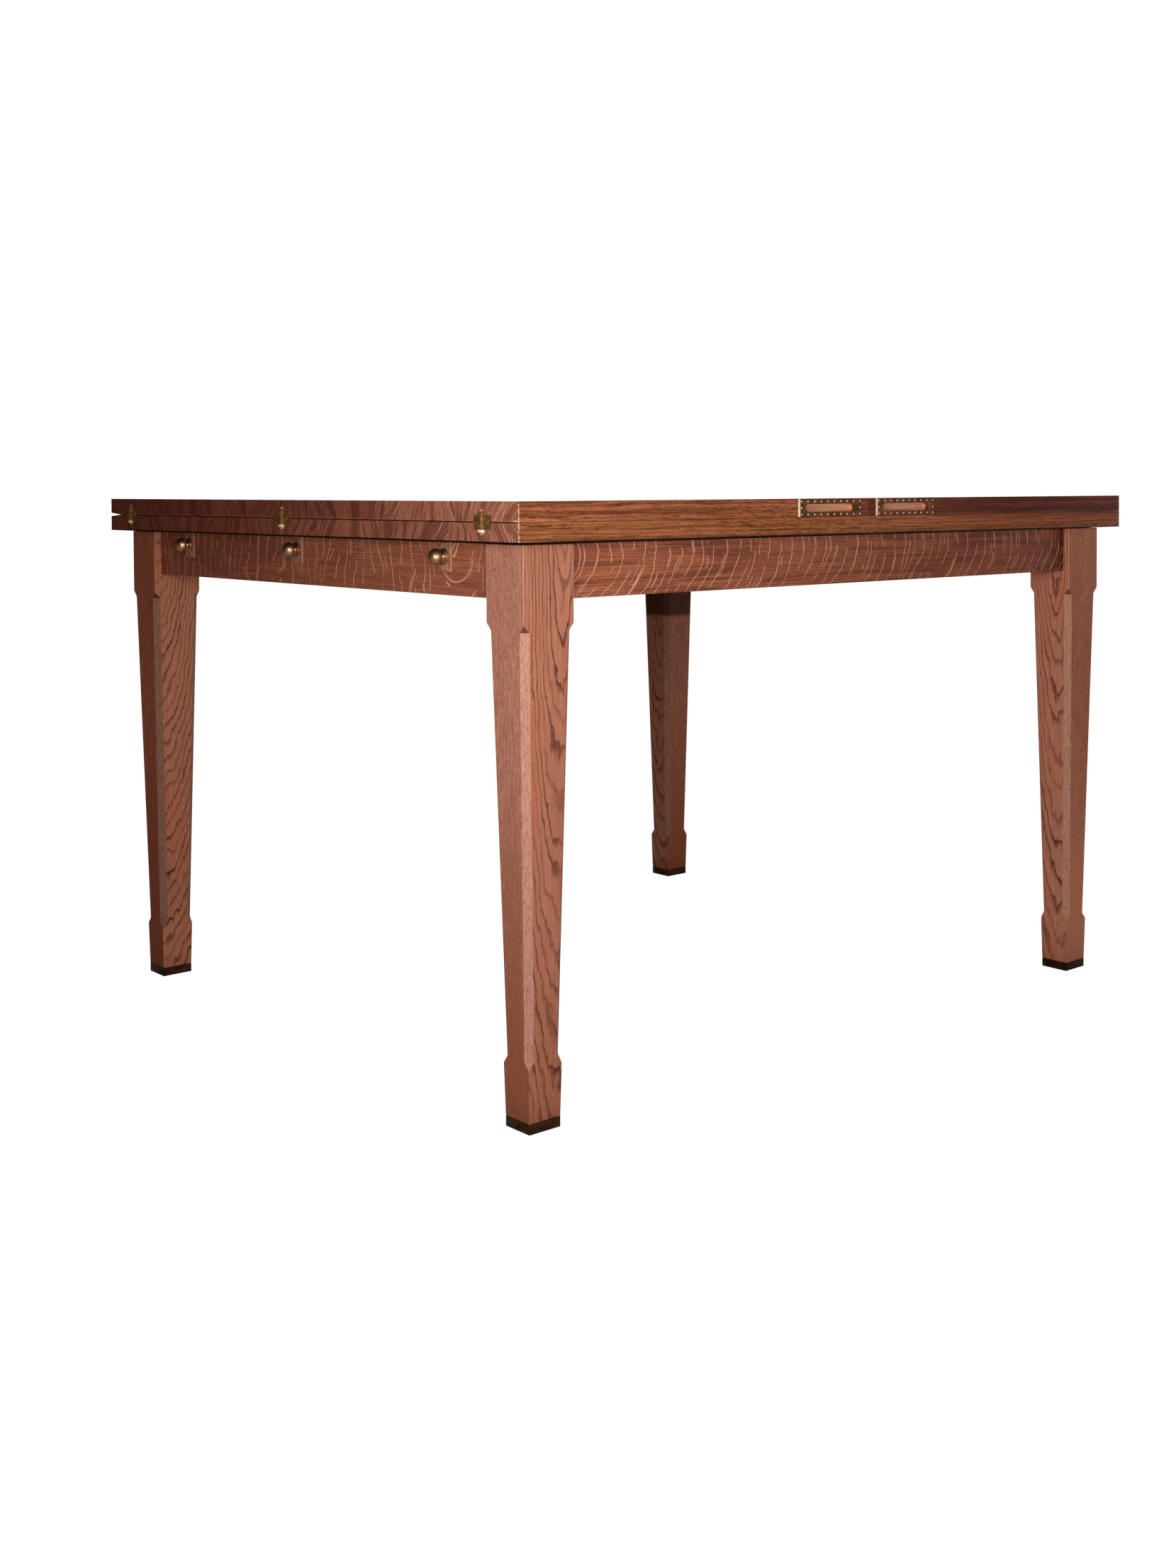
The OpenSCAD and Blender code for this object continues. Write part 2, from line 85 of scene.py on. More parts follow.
class Shader:
    """A material and short names for the nodes that it is made of."""

    def __init__(self, name):
        self.mat = bpy.data.materials.new(name)
        self.mat.use_nodes = True
        self.tree = self.mat.node_tree
        self.tree.nodes.clear()
        self.out = self.add("ShaderNodeOutputMaterial")
        self.bsdf = self.add("ShaderNodeBsdfPrincipled")
        self.tree.links.new(self.bsdf.outputs[0], self.out.inputs[0])
        tc = self.add("ShaderNodeTexCoord")
        self.pos = tc.outputs["Object"]
        self.x, self.y, self.z = self.split(self.pos)
        self.nx, self.ny, self.nz = self.split(tc.outputs["Normal"])

    def add(self, kind, **props):
        n = self.tree.nodes.new(kind)
        for k, v in props.items():
            setattr(n, k, v)
        return n

    def put(self, socket, value):
        if isinstance(value, bpy.types.NodeSocket):
            self.tree.links.new(value, socket)
        elif value is not None:
            socket.default_value = value

    def split(self, v):
        n = self.add("ShaderNodeSeparateXYZ")
        self.put(n.inputs[0], v)
        return n.outputs[0], n.outputs[1], n.outputs[2]

    def vec(self, x, y, z):
        n = self.add("ShaderNodeCombineXYZ")
        for s, v in zip(n.inputs, (x, y, z)):
            self.put(s, v)
        return n.outputs[0]

    def m(self, op, a, b=None, c=None, clamp=False):
        n = self.add("ShaderNodeMath", operation=op, use_clamp=clamp)
        for s, v in zip(n.inputs, (a, b, c)):
            self.put(s, v)
        return n.outputs[0]

    def mad(self, a, k, c=0.0):
        return self.m("MULTIPLY_ADD", a, k, c)

    def smooth(self, v, lo, hi, a=0.0, b=1.0):
        n = self.add("ShaderNodeMapRange", interpolation_type="SMOOTHSTEP", clamp=True)
        for i, s in enumerate((v, lo, hi, a, b)):
            self.put(n.inputs[i], s)
        return n.outputs[0]

    def between(self, v, lo, hi, soft):
        """1 where lo < v < hi, with soft edges."""
        return self.m("MULTIPLY", self.smooth(v, lo - soft, lo + soft), self.smooth(v, hi - soft, hi + soft, 1.0, 0.0))

    def noise(self, v, scale=1.0, detail=2.0, rough=0.5, distort=0.0):
        n = self.add("ShaderNodeTexNoise", noise_dimensions="3D")
        self.put(n.inputs["Vector"], v)
        n.inputs["Scale"].default_value = scale
        n.inputs["Detail"].default_value = detail
        n.inputs["Roughness"].default_value = rough
        n.inputs["Distortion"].default_value = distort
        return n.outputs[0]

    def dice(self, w):
        """Three random numbers for a whole number w."""
        n = self.add("ShaderNodeTexWhiteNoise", noise_dimensions="1D")
        self.put(n.inputs["W"], w)
        return self.split(n.outputs["Color"])

    def mix(self, f, a, b, blend="MIX"):
        n = self.add("ShaderNodeMix", data_type="RGBA", blend_type=blend, clamp_factor=True)
        self.put(n.inputs[0], f)
        self.put(n.inputs[6], a)
        self.put(n.inputs[7], b)
        return n.outputs[2]

    def tone(self, colour, value):
        """colour times value."""
        return self.mix(1.0, colour, self.vec(value, value, value), "MULTIPLY")

    def bump(self, height, strength, distance):
        n = self.add("ShaderNodeBump")
        n.inputs["Strength"].default_value = strength
        n.inputs["Distance"].default_value = distance
        self.put(n.inputs["Height"], height)
        self.put(self.bsdf.inputs["Normal"], n.outputs[0])

    def done(self, colour, rough, metal=0.0, specular=0.5, **more):
        self.put(self.bsdf.inputs["Base Color"], colour)
        self.put(self.bsdf.inputs["Roughness"], rough)
        self.put(self.bsdf.inputs["Metallic"], metal)
        self.bsdf.inputs["Specular IOR Level"].default_value = specular
        for k, v in more.items():
            self.bsdf.inputs[k].default_value = v
        return self.mat


# ------------------------------------------------------------------ oak
def pores(s, u, v, w, length=0.0045, width=0.00042, seed=0.0):
    """Open pores: short dark dashes along the grain, dots on end grain. Returns the raw noise value, 0 to 1."""
    n = s.noise(s.vec(s.mad(u, 1.0 / length, seed), s.mad(v, 0.5 / width, seed), s.m("MULTIPLY", w, 0.5 / width)), 1.0, 1.0, 0.6)
    return n


def fibre(s, u, v, w, seed=0.0):
    return s.noise(s.vec(s.mad(u, 14.0, seed), s.mad(v, 620.0, seed), s.m("MULTIPLY", w, 620.0)), 1.0, 3.0, 0.65)


def slow(s, u, v, w, a, b, seed, detail=2.0):
    """A slow change of tone: a per metre along the grain, b per metre across it."""
    return s.noise(s.vec(s.mad(u, a, seed), s.mad(v, b, seed * 1.7), s.m("MULTIPLY", w, b)), 1.0, detail, 0.5)


def ring_bands(s, r, spacing, wobble):
    """Growth rings: 0 in the open early wood, rising to 1 through the late wood."""
    n = s.m("ADD", s.m("DIVIDE", r, spacing), wobble)
    f = s.m("FRACT", n)
    return f, s.m("FLOOR", n)


SHEEN = (1.0, 0.58, 0.42, 1.0)


def top_oak(name, seed, z_mid, leaf, warm):
    """Tops: boards running in x, glued edge to edge in y, with their own heart, tone and rays."""
    s = Shader(name)
    x, y, z = s.x, s.y, s.z
    wob = s.noise(s.vec(s.m("MULTIPLY", x, 3.0), s.mad(y, 9.0, seed), z), 1.0, 2.0)
    pitch = 0.156
    b0 = s.m("DIVIDE", s.mad(y, 1.0, 0.5465 + 0.013 * seed), pitch)
    board = s.m("FLOOR", b0)
    inside = s.m("FRACT", b0)
    r1, r2, r3 = s.dice(s.m("ADD", board, 17.3 * seed))
    # heart of each board, above or below it, drifting along its length
    drift = s.mad(s.noise(s.vec(s.mad(x, 1.1, seed), s.m("MULTIPLY", board, 7.7), 0.0), 1.0, 1.0), 0.10, -0.05)
    centre = s.mad(s.m("ADD", board, 0.5), pitch, -(0.5465 + 0.013 * seed))
    py = s.m("ADD", s.m("ADD", centre, s.mad(r1, 0.09, -0.045)), drift)
    first = s.m("COMPARE", board, 0.0, 0.5)
    py = s.m("ADD", s.m("MULTIPLY", py, s.m("SUBTRACT", 1.0, first)), s.m("MULTIPLY", first, -0.415))
    updown = s.m("SUBTRACT", s.m("MULTIPLY", s.m("MODULO", s.m("ABSOLUTE", board), 2.0), 2.0), 1.0)
    if not leaf:
        updown = s.m("MULTIPLY", updown, -1.0)
    pz = s.m("MULTIPLY", updown, s.mad(r2, 0.065, 0.085))
    dy = s.m("SUBTRACT", y, py)
    dz = s.m("SUBTRACT", s.mad(z, 1.0, -z_mid), pz)
    dyw = s.m("ADD", dy, s.mad(wob, 0.012, -0.006))
    r = s.m("SQRT", s.m("ADD", s.m("MULTIPLY", dyw, dyw), s.m("MULTIPLY", dz, dz)))
    ringn = s.noise(s.vec(s.m("MULTIPLY", x, 5.0), s.mad(y, 30.0, seed), s.m("MULTIPLY", z, 30.0)), 1.0, 2.0)
    f, ring = ring_bands(s, r, 0.0042, s.mad(ringn, 1.5, 0.0))
    early = s.m("MULTIPLY", s.smooth(f, 0.0, 0.12, 0.0, 1.0), s.smooth(f, 0.12, 0.75, 1.0, 0.0))

    p = pores(s, x, y, z, seed=seed)
    p_dark = s.m("MULTIPLY", s.smooth(p, 0.53, 0.66), s.mad(early, 0.75, 0.35))
    fib = fibre(s, x, y, z, seed)
    streak = slow(s, x, y, z, 1.3, 95.0, 3.1 * seed, 4.0)
    patch = slow(s, x, y, z, 2.5, 14.0, 5.3 * seed, 1.0)

    # long grain
    warm_light, warm_mid, warm_dark = warm
    c = s.mix(s.smooth(s.mad(streak, 0.60, s.mad(fib, 0.40)), 0.41, 0.57), warm_dark, warm_light)
    c = s.mix(s.m("MULTIPLY", early, 0.40), c, warm_dark)
    c = s.mix(s.m("MULTIPLY", s.smooth(patch, 0.45, 0.75), 0.40), c, warm_mid)
    long_p = s.noise(s.vec(s.mad(x, 42.0, seed), s.m("MULTIPLY", y, 1000.0), s.mad(z, 1000.0, seed)), 1.0, 1.5, 0.6)
    gather = s.noise(s.vec(s.mad(x, 9.0, seed), s.m("MULTIPLY", y, 60.0), s.mad(z, 60.0, seed)), 1.0, 2.0, 0.6)
    long_d = s.m("MULTIPLY", s.smooth(long_p, 0.55, 0.63), s.smooth(gather, 0.38, 0.60, 0.25, 1.0))
    c = s.mix(s.m("MULTIPLY", p_dark, 0.72), c, lin(66, 33, 22))
    c = s.mix(s.m("MULTIPLY", long_d, 0.88), c, lin(60, 30, 20))
    wisp = s.noise(s.vec(s.mad(x, 4.5, seed), s.m("MULTIPLY", y, 240.0), s.mad(z, 420.0, seed)), 1.0, 2.0, 0.55)
    c = s.mix(s.smooth(wisp, 0.545, 0.63, 0.0, 0.55), c, lin(84, 46, 28))
    c = s.tone(c, s.mad(r3, 0.22, 0.97))
    c = s.tone(c, s.smooth(s.m("ABSOLUTE", s.mad(x, 1.0, 0.05)), 0.05, 0.45, 1.26, 1.0))
    mott = s.noise(s.vec(s.mad(x, 46.0, seed), s.m("MULTIPLY", y, 300.0), s.mad(z, 330.0, seed)), 1.0, 3.0, 0.65)
    c = s.mix(s.m("MULTIPLY", s.smooth(mott, 0.50, 0.62, 0.0, 0.6), s.smooth(s.m("ABSOLUTE", s.mad(x, 1.0, 0.12)), 0.06, 0.30, 1.0, 0.25)), c, lin(88, 45, 31))
    if leaf:
        c = s.mix(s.smooth(s.m("ABSOLUTE", x), 0.0150, 0.0175, 0.5, 0.0), c, lin(100, 40, 30))
    # painted shade: on the leaves the long side faces are painted darker towards the +x end, where less light reaches
    # them; on the fixed top the same mask tints them redder
    on_side = s.smooth(s.m("ABSOLUTE", s.ny), 0.6, 0.8)
    c = s.mix(s.m("MULTIPLY", on_side, s.smooth(x, 0.0, 0.46)), c, (0.66, 0.24, 0.15, 1) if leaf else (1.24, 0.94, 0.86, 1), "MULTIPLY")
    # the joint between two boards shows as a fine dark line
    joint = s.m("MULTIPLY", s.smooth(inside, 0.0, 0.0035, 1.0, 0.0), 0.5)
    c = s.mix(joint, c, lin(60, 32, 22))

    # end grain on the short ends: rays fan out from each board's heart
    theta = s.m("ARCTAN2", dy, s.m("MULTIPLY", dz, updown))
    bend = s.noise(s.vec(s.mad(y, 22.0, seed), s.m("MULTIPLY", z, 30.0), 0.0), 1.0, 2.0)
    ray_u = s.mad(s.m("ADD", theta, s.mad(bend, 0.09, -0.045)), 41.0, 0.0)
    jit = s.noise(s.vec(s.m("MULTIPLY", ray_u, 0.55), s.m("MULTIPLY", r, 8.0), s.m("MULTIPLY", x, 5.0)), 1.0, 2.0)
    ph = s.m("FRACT", s.m("ADD", ray_u, s.mad(jit, 2.2)))
    ray_l = s.smooth(s.m("ABSOLUTE", s.m("SUBTRACT", ph, 0.5)), 0.09, 0.21, 1.0, 0.0)
    seen = s.noise(s.vec(s.m("MULTIPLY", ray_u, 0.7), s.m("MULTIPLY", r, 45.0), s.m("MULTIPLY", x, 5.0)), 1.0, 1.0)
    rays = s.m("MULTIPLY", ray_l, s.smooth(seen, 0.30, 0.62, 0.25, 1.0))
    pe = s.noise(s.vec(s.m("MULTIPLY", x, 40.0), s.m("MULTIPLY", y, 1150.0), s.m("MULTIPLY", z, 1150.0)), 1.0, 1.0)
    pe_dark = s.m("MULTIPLY", s.smooth(pe, 0.5, 0.64), s.mad(early, 0.45, 0.38))
    e = s.mix(s.mad(s.smooth(f, 0.1, 0.95), 0.35, 0.2), lin(124, 69, 51), lin(166, 105, 81))
    e = s.mix(s.m("MULTIPLY", pe_dark, 0.85), e, lin(74, 38, 28))
    e = s.mix(s.m("MULTIPLY", rays, 0.66), e, lin(218, 156, 130))
    cloud = s.noise(s.vec(s.mad(ray_u, 0.30, seed), s.m("MULTIPLY", r, 8.0), s.m("MULTIPLY", board, 3.3)), 1.0, 2.0, 0.6)
    e = s.mix(s.m("MULTIPLY", s.smooth(cloud, 0.46, 0.62), 0.62), e, lin(82, 40, 33))
    e = s.tone(e, s.mad(r3, 0.30, 0.98))
    # painted shade: the end faces are painted darker and redder towards +y, the far corner, where less light reaches
    # them
    e = s.mix(s.smooth(y, -0.36, 0.44, 0.0, 0.66), e, lin(112, 38, 19))
    e = s.mix(s.between(y, -0.25, 0.22, 0.12), e, (0.90, 0.77, 0.79, 1) if leaf else (1.0, 0.90, 0.86, 1), "MULTIPLY")
    e = s.mix(joint, e, lin(50, 26, 18))
    # a dark line is painted along the seam between leaf and fixed top; above it the leaf's edge is rubbed
    away = s.m("ABSOLUTE", s.mad(z, 1.0, -0.737))
    seam = s.smooth(away, 0.00055, 0.00105, 1.0, 0.0)
    if leaf:
        rub = s.m("MULTIPLY", s.smooth(z, 0.7388, 0.7396, 1.0, 0.0), s.smooth(s.noise(s.vec(0.0, s.m("MULTIPLY", y, 34.0), 0.0), 1.0, 3.0), 0.30, 0.55))
        e = s.mix(s.m("MULTIPLY", rub, 0.5), e, lin(186, 124, 90))
        chip = s.m("MULTIPLY", s.smooth(y, -0.5365, -0.5345, 1.0, 0.0), s.smooth(s.mad(s.noise(s.vec(0.0, s.m("MULTIPLY", y, 500.0), s.m("MULTIPLY", z, 200.0)), 1.0, 1.0), 0.003, z), 0.7408, 0.7414, 1.0, 0.0))
        e = s.mix(s.m("MULTIPLY", chip, 0.8), e, lin(232, 176, 148))
    e = s.mix(s.m("MULTIPLY", seam, 0.9), e, lin(26, 12, 9))
    c = s.mix(s.m("MULTIPLY", seam, 0.35), c, lin(50, 26, 18))
    is_end = s.smooth(s.m("ABSOLUTE", s.nx), 0.6, 0.8)
    c = s.mix(is_end, c, e)

    # bare wood cut open for the hinges, and in the finger pockets of the leaves
    bare = None
    for hy in HINGE_Y:
        k = s.smooth(s.m("ABSOLUTE", s.mad(y, 1.0, -hy)), 0.0190, 0.0194, 1.0, 0.0)
        bare = k if bare is None else s.m("MAXIMUM", bare, k)
    bare = s.m("MULTIPLY", bare, s.between(s.m("ABSOLUTE", x), 0.5775, 0.5962, 0.0002))
    if leaf:
        bare = s.m("MULTIPLY", bare, s.between(z, 0.7375, 0.7530, 0.0002))
        pocket = s.m("MULTIPLY", s.between(s.m("ABSOLUTE", y), 0.530, 0.5442, 0.0003),
                     s.m("MULTIPLY", s.between(z, 0.7436, 0.7552, 0.0002), s.between(s.m("ABSOLUTE", x), 0.027, 0.126, 0.0003)))
        bare = s.m("MAXIMUM", bare, pocket)
    else:
        bare = s.m("MULTIPLY", bare, s.between(z, 0.7209, 0.7365, 0.0002))
    c = s.mix(bare, c, s.mix(s.smooth(fib, 0.35, 0.65), lin(204, 140, 108), lin(238, 184, 152)))
    # painted highlight, partly wear: a bright arris on the upright corners, where the finish is worn off and the
    # corner catches the light
    near_x = s.smooth(s.m("ABSOLUTE", x), 0.5956, 0.5963)
    near_y = s.smooth(s.m("ABSOLUTE", y), 0.5451, 0.5458)
    corner_wear_and_glint = s.m("MULTIPLY", s.m("MULTIPLY", near_x, near_y), s.smooth(s.noise(s.vec(x, y, s.m("MULTIPLY", z, 160.0)), 1.0, 2.0), 0.33, 0.5))
    c = s.mix(s.m("MULTIPLY", corner_wear_and_glint, 0.85), c, lin(222, 178, 148))
    # painted shadow: a near-black band along the underside of the fixed top, over the gap above the frame
    if not leaf:
        c = s.mix(s.smooth(z, 0.7136, 0.7143, 1.0, 0.0), c, lin(5, 2, 2))
    rough = s.mad(p_dark, 0.16, s.mad(fib, 0.16, 0.42))
    h = s.m("SUBTRACT", s.mad(fib, 0.35), p_dark)
    s.bump(h, 0.35, 0.0004)
    # the upper faces of the leaves are waxed; ends, edges and the covered fixed top are not
    if leaf:
        s.put(s.bsdf.inputs["Coat Weight"], s.smooth(s.nz, 0.90, 0.99))
    return s.done(c, rough, specular=0.16, **{"Coat Roughness": 0.06, "Coat IOR": 1.5, "Specular Tint": SHEEN})


def leg_oak(name, cx, cy, plain, heart, seed, tone=1.0, cut=1.0, shade=0.0, lean=0.078, calm=(1, 1, 1, 1), ink=0.80):
    """Legs: grain upright. The face named by plain ('x' or 'y') is quarter-cut and quiet;
    the other carries nested flames whose tip line is heart metres off the leg's middle."""
    s = Shader(name)
    a = s.mad(s.x, 1.0, -cx)
    b = s.mad(s.y, 1.0, -cy)
    z = s.z
    sx, sy = (1.0 if cx > 0 else -1.0), (1.0 if cy > 0 else -1.0)
    if plain == "y":
        a, b = b, a
    # a: across the flame face; b: through it, towards its heart
    wander = s.noise(s.vec(s.mad(z, 2.2, seed), 0.0, 0.0), 1.0, 2.0)
    heart_a = s.mad(wander, 0.024, heart - 0.012)
    depth = s.mad(z, -lean, 0.050 + 0.70 * lean)
    da = s.m("SUBTRACT", a, heart_a)
    wob = s.noise(s.vec(s.m("MULTIPLY", a, 38.0), s.m("MULTIPLY", b, 38.0), s.mad(z, 13.0, seed)), 1.0, 3.0, 0.6)
    face_y = s.m("MULTIPLY", b, -1.0)
    db = s.m("SUBTRACT", depth, s.m("ABSOLUTE", b))
    db = s.m("MAXIMUM", db, 0.0)
    r = s.m("SQRT", s.m("ADD", s.m("MULTIPLY", da, da), s.m("MULTIPLY", db, db)))
    rag = s.noise(s.vec(s.m("MULTIPLY", a, 260.0), s.m("MULTIPLY", b, 260.0), s.mad(z, 22.0, seed)), 1.0, 2.0, 0.6)
    f, ring = ring_bands(s, r, 0.0049, s.m("ADD", s.mad(wob, 2.5, seed), s.mad(rag, 0.42)))
    line = s.m("MULTIPLY", s.smooth(f, 0.0, 0.10), s.smooth(f, 0.10, 0.45, 1.0, 0.0))
    k1, k2, k3 = s.dice(s.mad(ring, 1.0, 31.0 * seed))
    line = s.m("MULTIPLY", line, s.mad(k1, 0.70, 0.42))
    # which face this is
    nx, ny = s.m("ABSOLUTE", s.nx), s.m("ABSOLUTE", s.ny)
    flame_n = ny if plain == "x" else nx
    other_n = nx if plain == "x" else ny
    on_flame = s.smooth(flame_n, 0.75, 0.9)
    on_plain = s.smooth(other_n, 0.75, 0.9)
    on_chamfer = s.smooth(s.m("MULTIPLY", nx, ny), 0.12, 0.3)

    p = pores(s, z, a, b, length=0.0052, width=0.00040, seed=seed)
    p_line = s.m("MULTIPLY", s.smooth(p, 0.50, 0.64), s.mad(line, 0.8, 0.22))
    fib = fibre(s, z, a, b, seed)
    patch = slow(s, z, a, b, 3.0, 22.0, seed, 2.0)

    light, base, dark = lin(190, 126, 101), lin(169, 107, 85), lin(82, 43, 38)
    c = s.mix(s.smooth(fib, 0.32, 0.68), base, light)
    c = s.mix(s.m("MULTIPLY", s.smooth(patch, 0.45, 0.75), 0.35), c, lin(150, 88, 66))
    flame = s.mix(s.m("MULTIPLY", line, ink), c, dark)
    flame = s.mix(s.m("MULTIPLY", p_line, 0.75), flame, lin(84, 48, 42))
    glow = slow(s, z, a, b, 5.0, 30.0, seed * 2.3, 2.0)
    flame = s.mix(s.smooth(glow, 0.46, 0.66, 0.0, 0.4), flame, lin(176, 104, 72))
    # quiet faces: a fine even fleck
    fleck = s.noise(s.vec(s.m("MULTIPLY", z, 55.0), s.m("MULTIPLY", a, 420.0), s.m("MULTIPLY", b, 420.0)), 1.0, 2.0, 0.6, 0.4)
    quiet = s.mix(s.smooth(fleck, 0.36, 0.66), lin(160, 101, 80), lin(186, 124, 102))
    sparkle = s.noise(s.vec(s.m("ADD", s.m("MULTIPLY", z, 300.0), s.m("MULTIPLY", b, 260.0)), s.m("MULTIPLY", a, 620.0), s.m("MULTIPLY", b, 620.0)), 1.0, 1.0)
    quiet = s.mix(s.smooth(sparkle, 0.52, 0.66, 0.0, 0.5), quiet, lin(206, 148, 126))
    quiet = s.mix(s.m("MULTIPLY", s.smooth(p, 0.56, 0.68), 0.4), quiet, lin(110, 66, 52))
    quiet = s.mix(s.m("MULTIPLY", s.smooth(patch, 0.4, 0.7), 0.35), quiet, lin(150, 90, 66))
    if cx > 0 and cy < 0:
        quiet = s.mix(s.smooth(z, 0.02, 0.44, 0.6, 0.0), quiet, lin(214, 152, 126))
    else:
        quiet = s.mix(s.smooth(z, 0.02, 0.44, 0.72, 0.0), quiet, lin(148, 76, 47))
    if cx > 0 and cy < 0:
        # a few silver rays climb the quiet face
        climb = s.m("ADD", s.m("ADD", s.mad(z, 1.0, seed), s.m("MULTIPLY", a, -0.9)), s.m("ADD", s.m("MULTIPLY", b, -0.9), s.mad(patch, 0.05)))
        cf = s.m("FRACT", s.m("MULTIPLY", climb, 1.0 / 0.037))
        cl = s.smooth(s.m("ABSOLUTE", s.m("SUBTRACT", cf, 0.5)), 0.012, 0.030, 1.0, 0.0)
        broken = s.noise(s.vec(s.mad(z, 26.0, seed), s.m("MULTIPLY", a, 60.0), s.m("MULTIPLY", b, 60.0)), 1.0, 2.0)
        quiet = s.mix(s.m("MULTIPLY", cl, s.smooth(broken, 0.52, 0.60, 0.0, 0.45)), quiet, lin(212, 158, 134))
    quiet = s.mix(1.0, quiet, calm, "MULTIPLY")
    c = s.mix(on_flame, quiet, flame)
    cham = s.mix(s.smooth(fleck, 0.35, 0.65), lin(180, 128, 109), lin(195, 142, 122))
    cham = s.mix(s.m("MULTIPLY", s.smooth(p, 0.54, 0.63), 0.55), cham, lin(118, 72, 58))
    # painted shade: chamfer facets that face downwards are painted darker
    cham = s.mix(s.smooth(s.nz, -0.35, -0.10, 0.9, 0.0), cham, lin(92, 54, 45))
    c = s.mix(on_chamfer, c, s.tone(cham, cut))
    # painted highlight, partly wear: rubbed arrises on the square head and foot, painted pale where they catch the
    # light
    edge = s.m("MULTIPLY", s.smooth(s.m("ABSOLUTE", s.mad(s.x, 1.0, -cx)), 0.0366, 0.0371), s.smooth(s.m("ABSOLUTE", s.mad(s.y, 1.0, -cy)), 0.0366, 0.0371))
    c = s.mix(s.m("MULTIPLY", edge, 0.8), c, lin(216, 164, 138))
    # painted shadow: a near-black band along the top of the leg, under the fixed top
    c = s.mix(s.smooth(z, 0.7094, 0.7100, 0.0, 0.9), c, lin(16, 8, 6))
    if shade:
        # inner faces above the aprons' lower edge see no light
        inner = s.m("MAXIMUM", s.smooth(s.m("MULTIPLY", s.nx, -sx), 0.3, 0.6), s.smooth(s.m("MULTIPLY", s.ny, -sy), 0.3, 0.6))
        c = s.mix(s.m("MULTIPLY", inner, s.smooth(z, 0.517, 0.527, 0.0, shade)), c, lin(46, 14, 15))
    # the foot darkens towards its shoe
    c = s.tone(c, s.smooth(s.mad(wob, 0.01, z), 0.012, 0.055, 0.82 * tone, tone))
    rough = s.mad(fib, 0.18, s.mad(p_line, 0.15, 0.40))
    s.bump(s.m("SUBTRACT", s.mad(fib, 0.3), p_line), 0.35, 0.0004)
    return s.done(c, rough, specular=0.14, **{"Specular Tint": SHEEN})


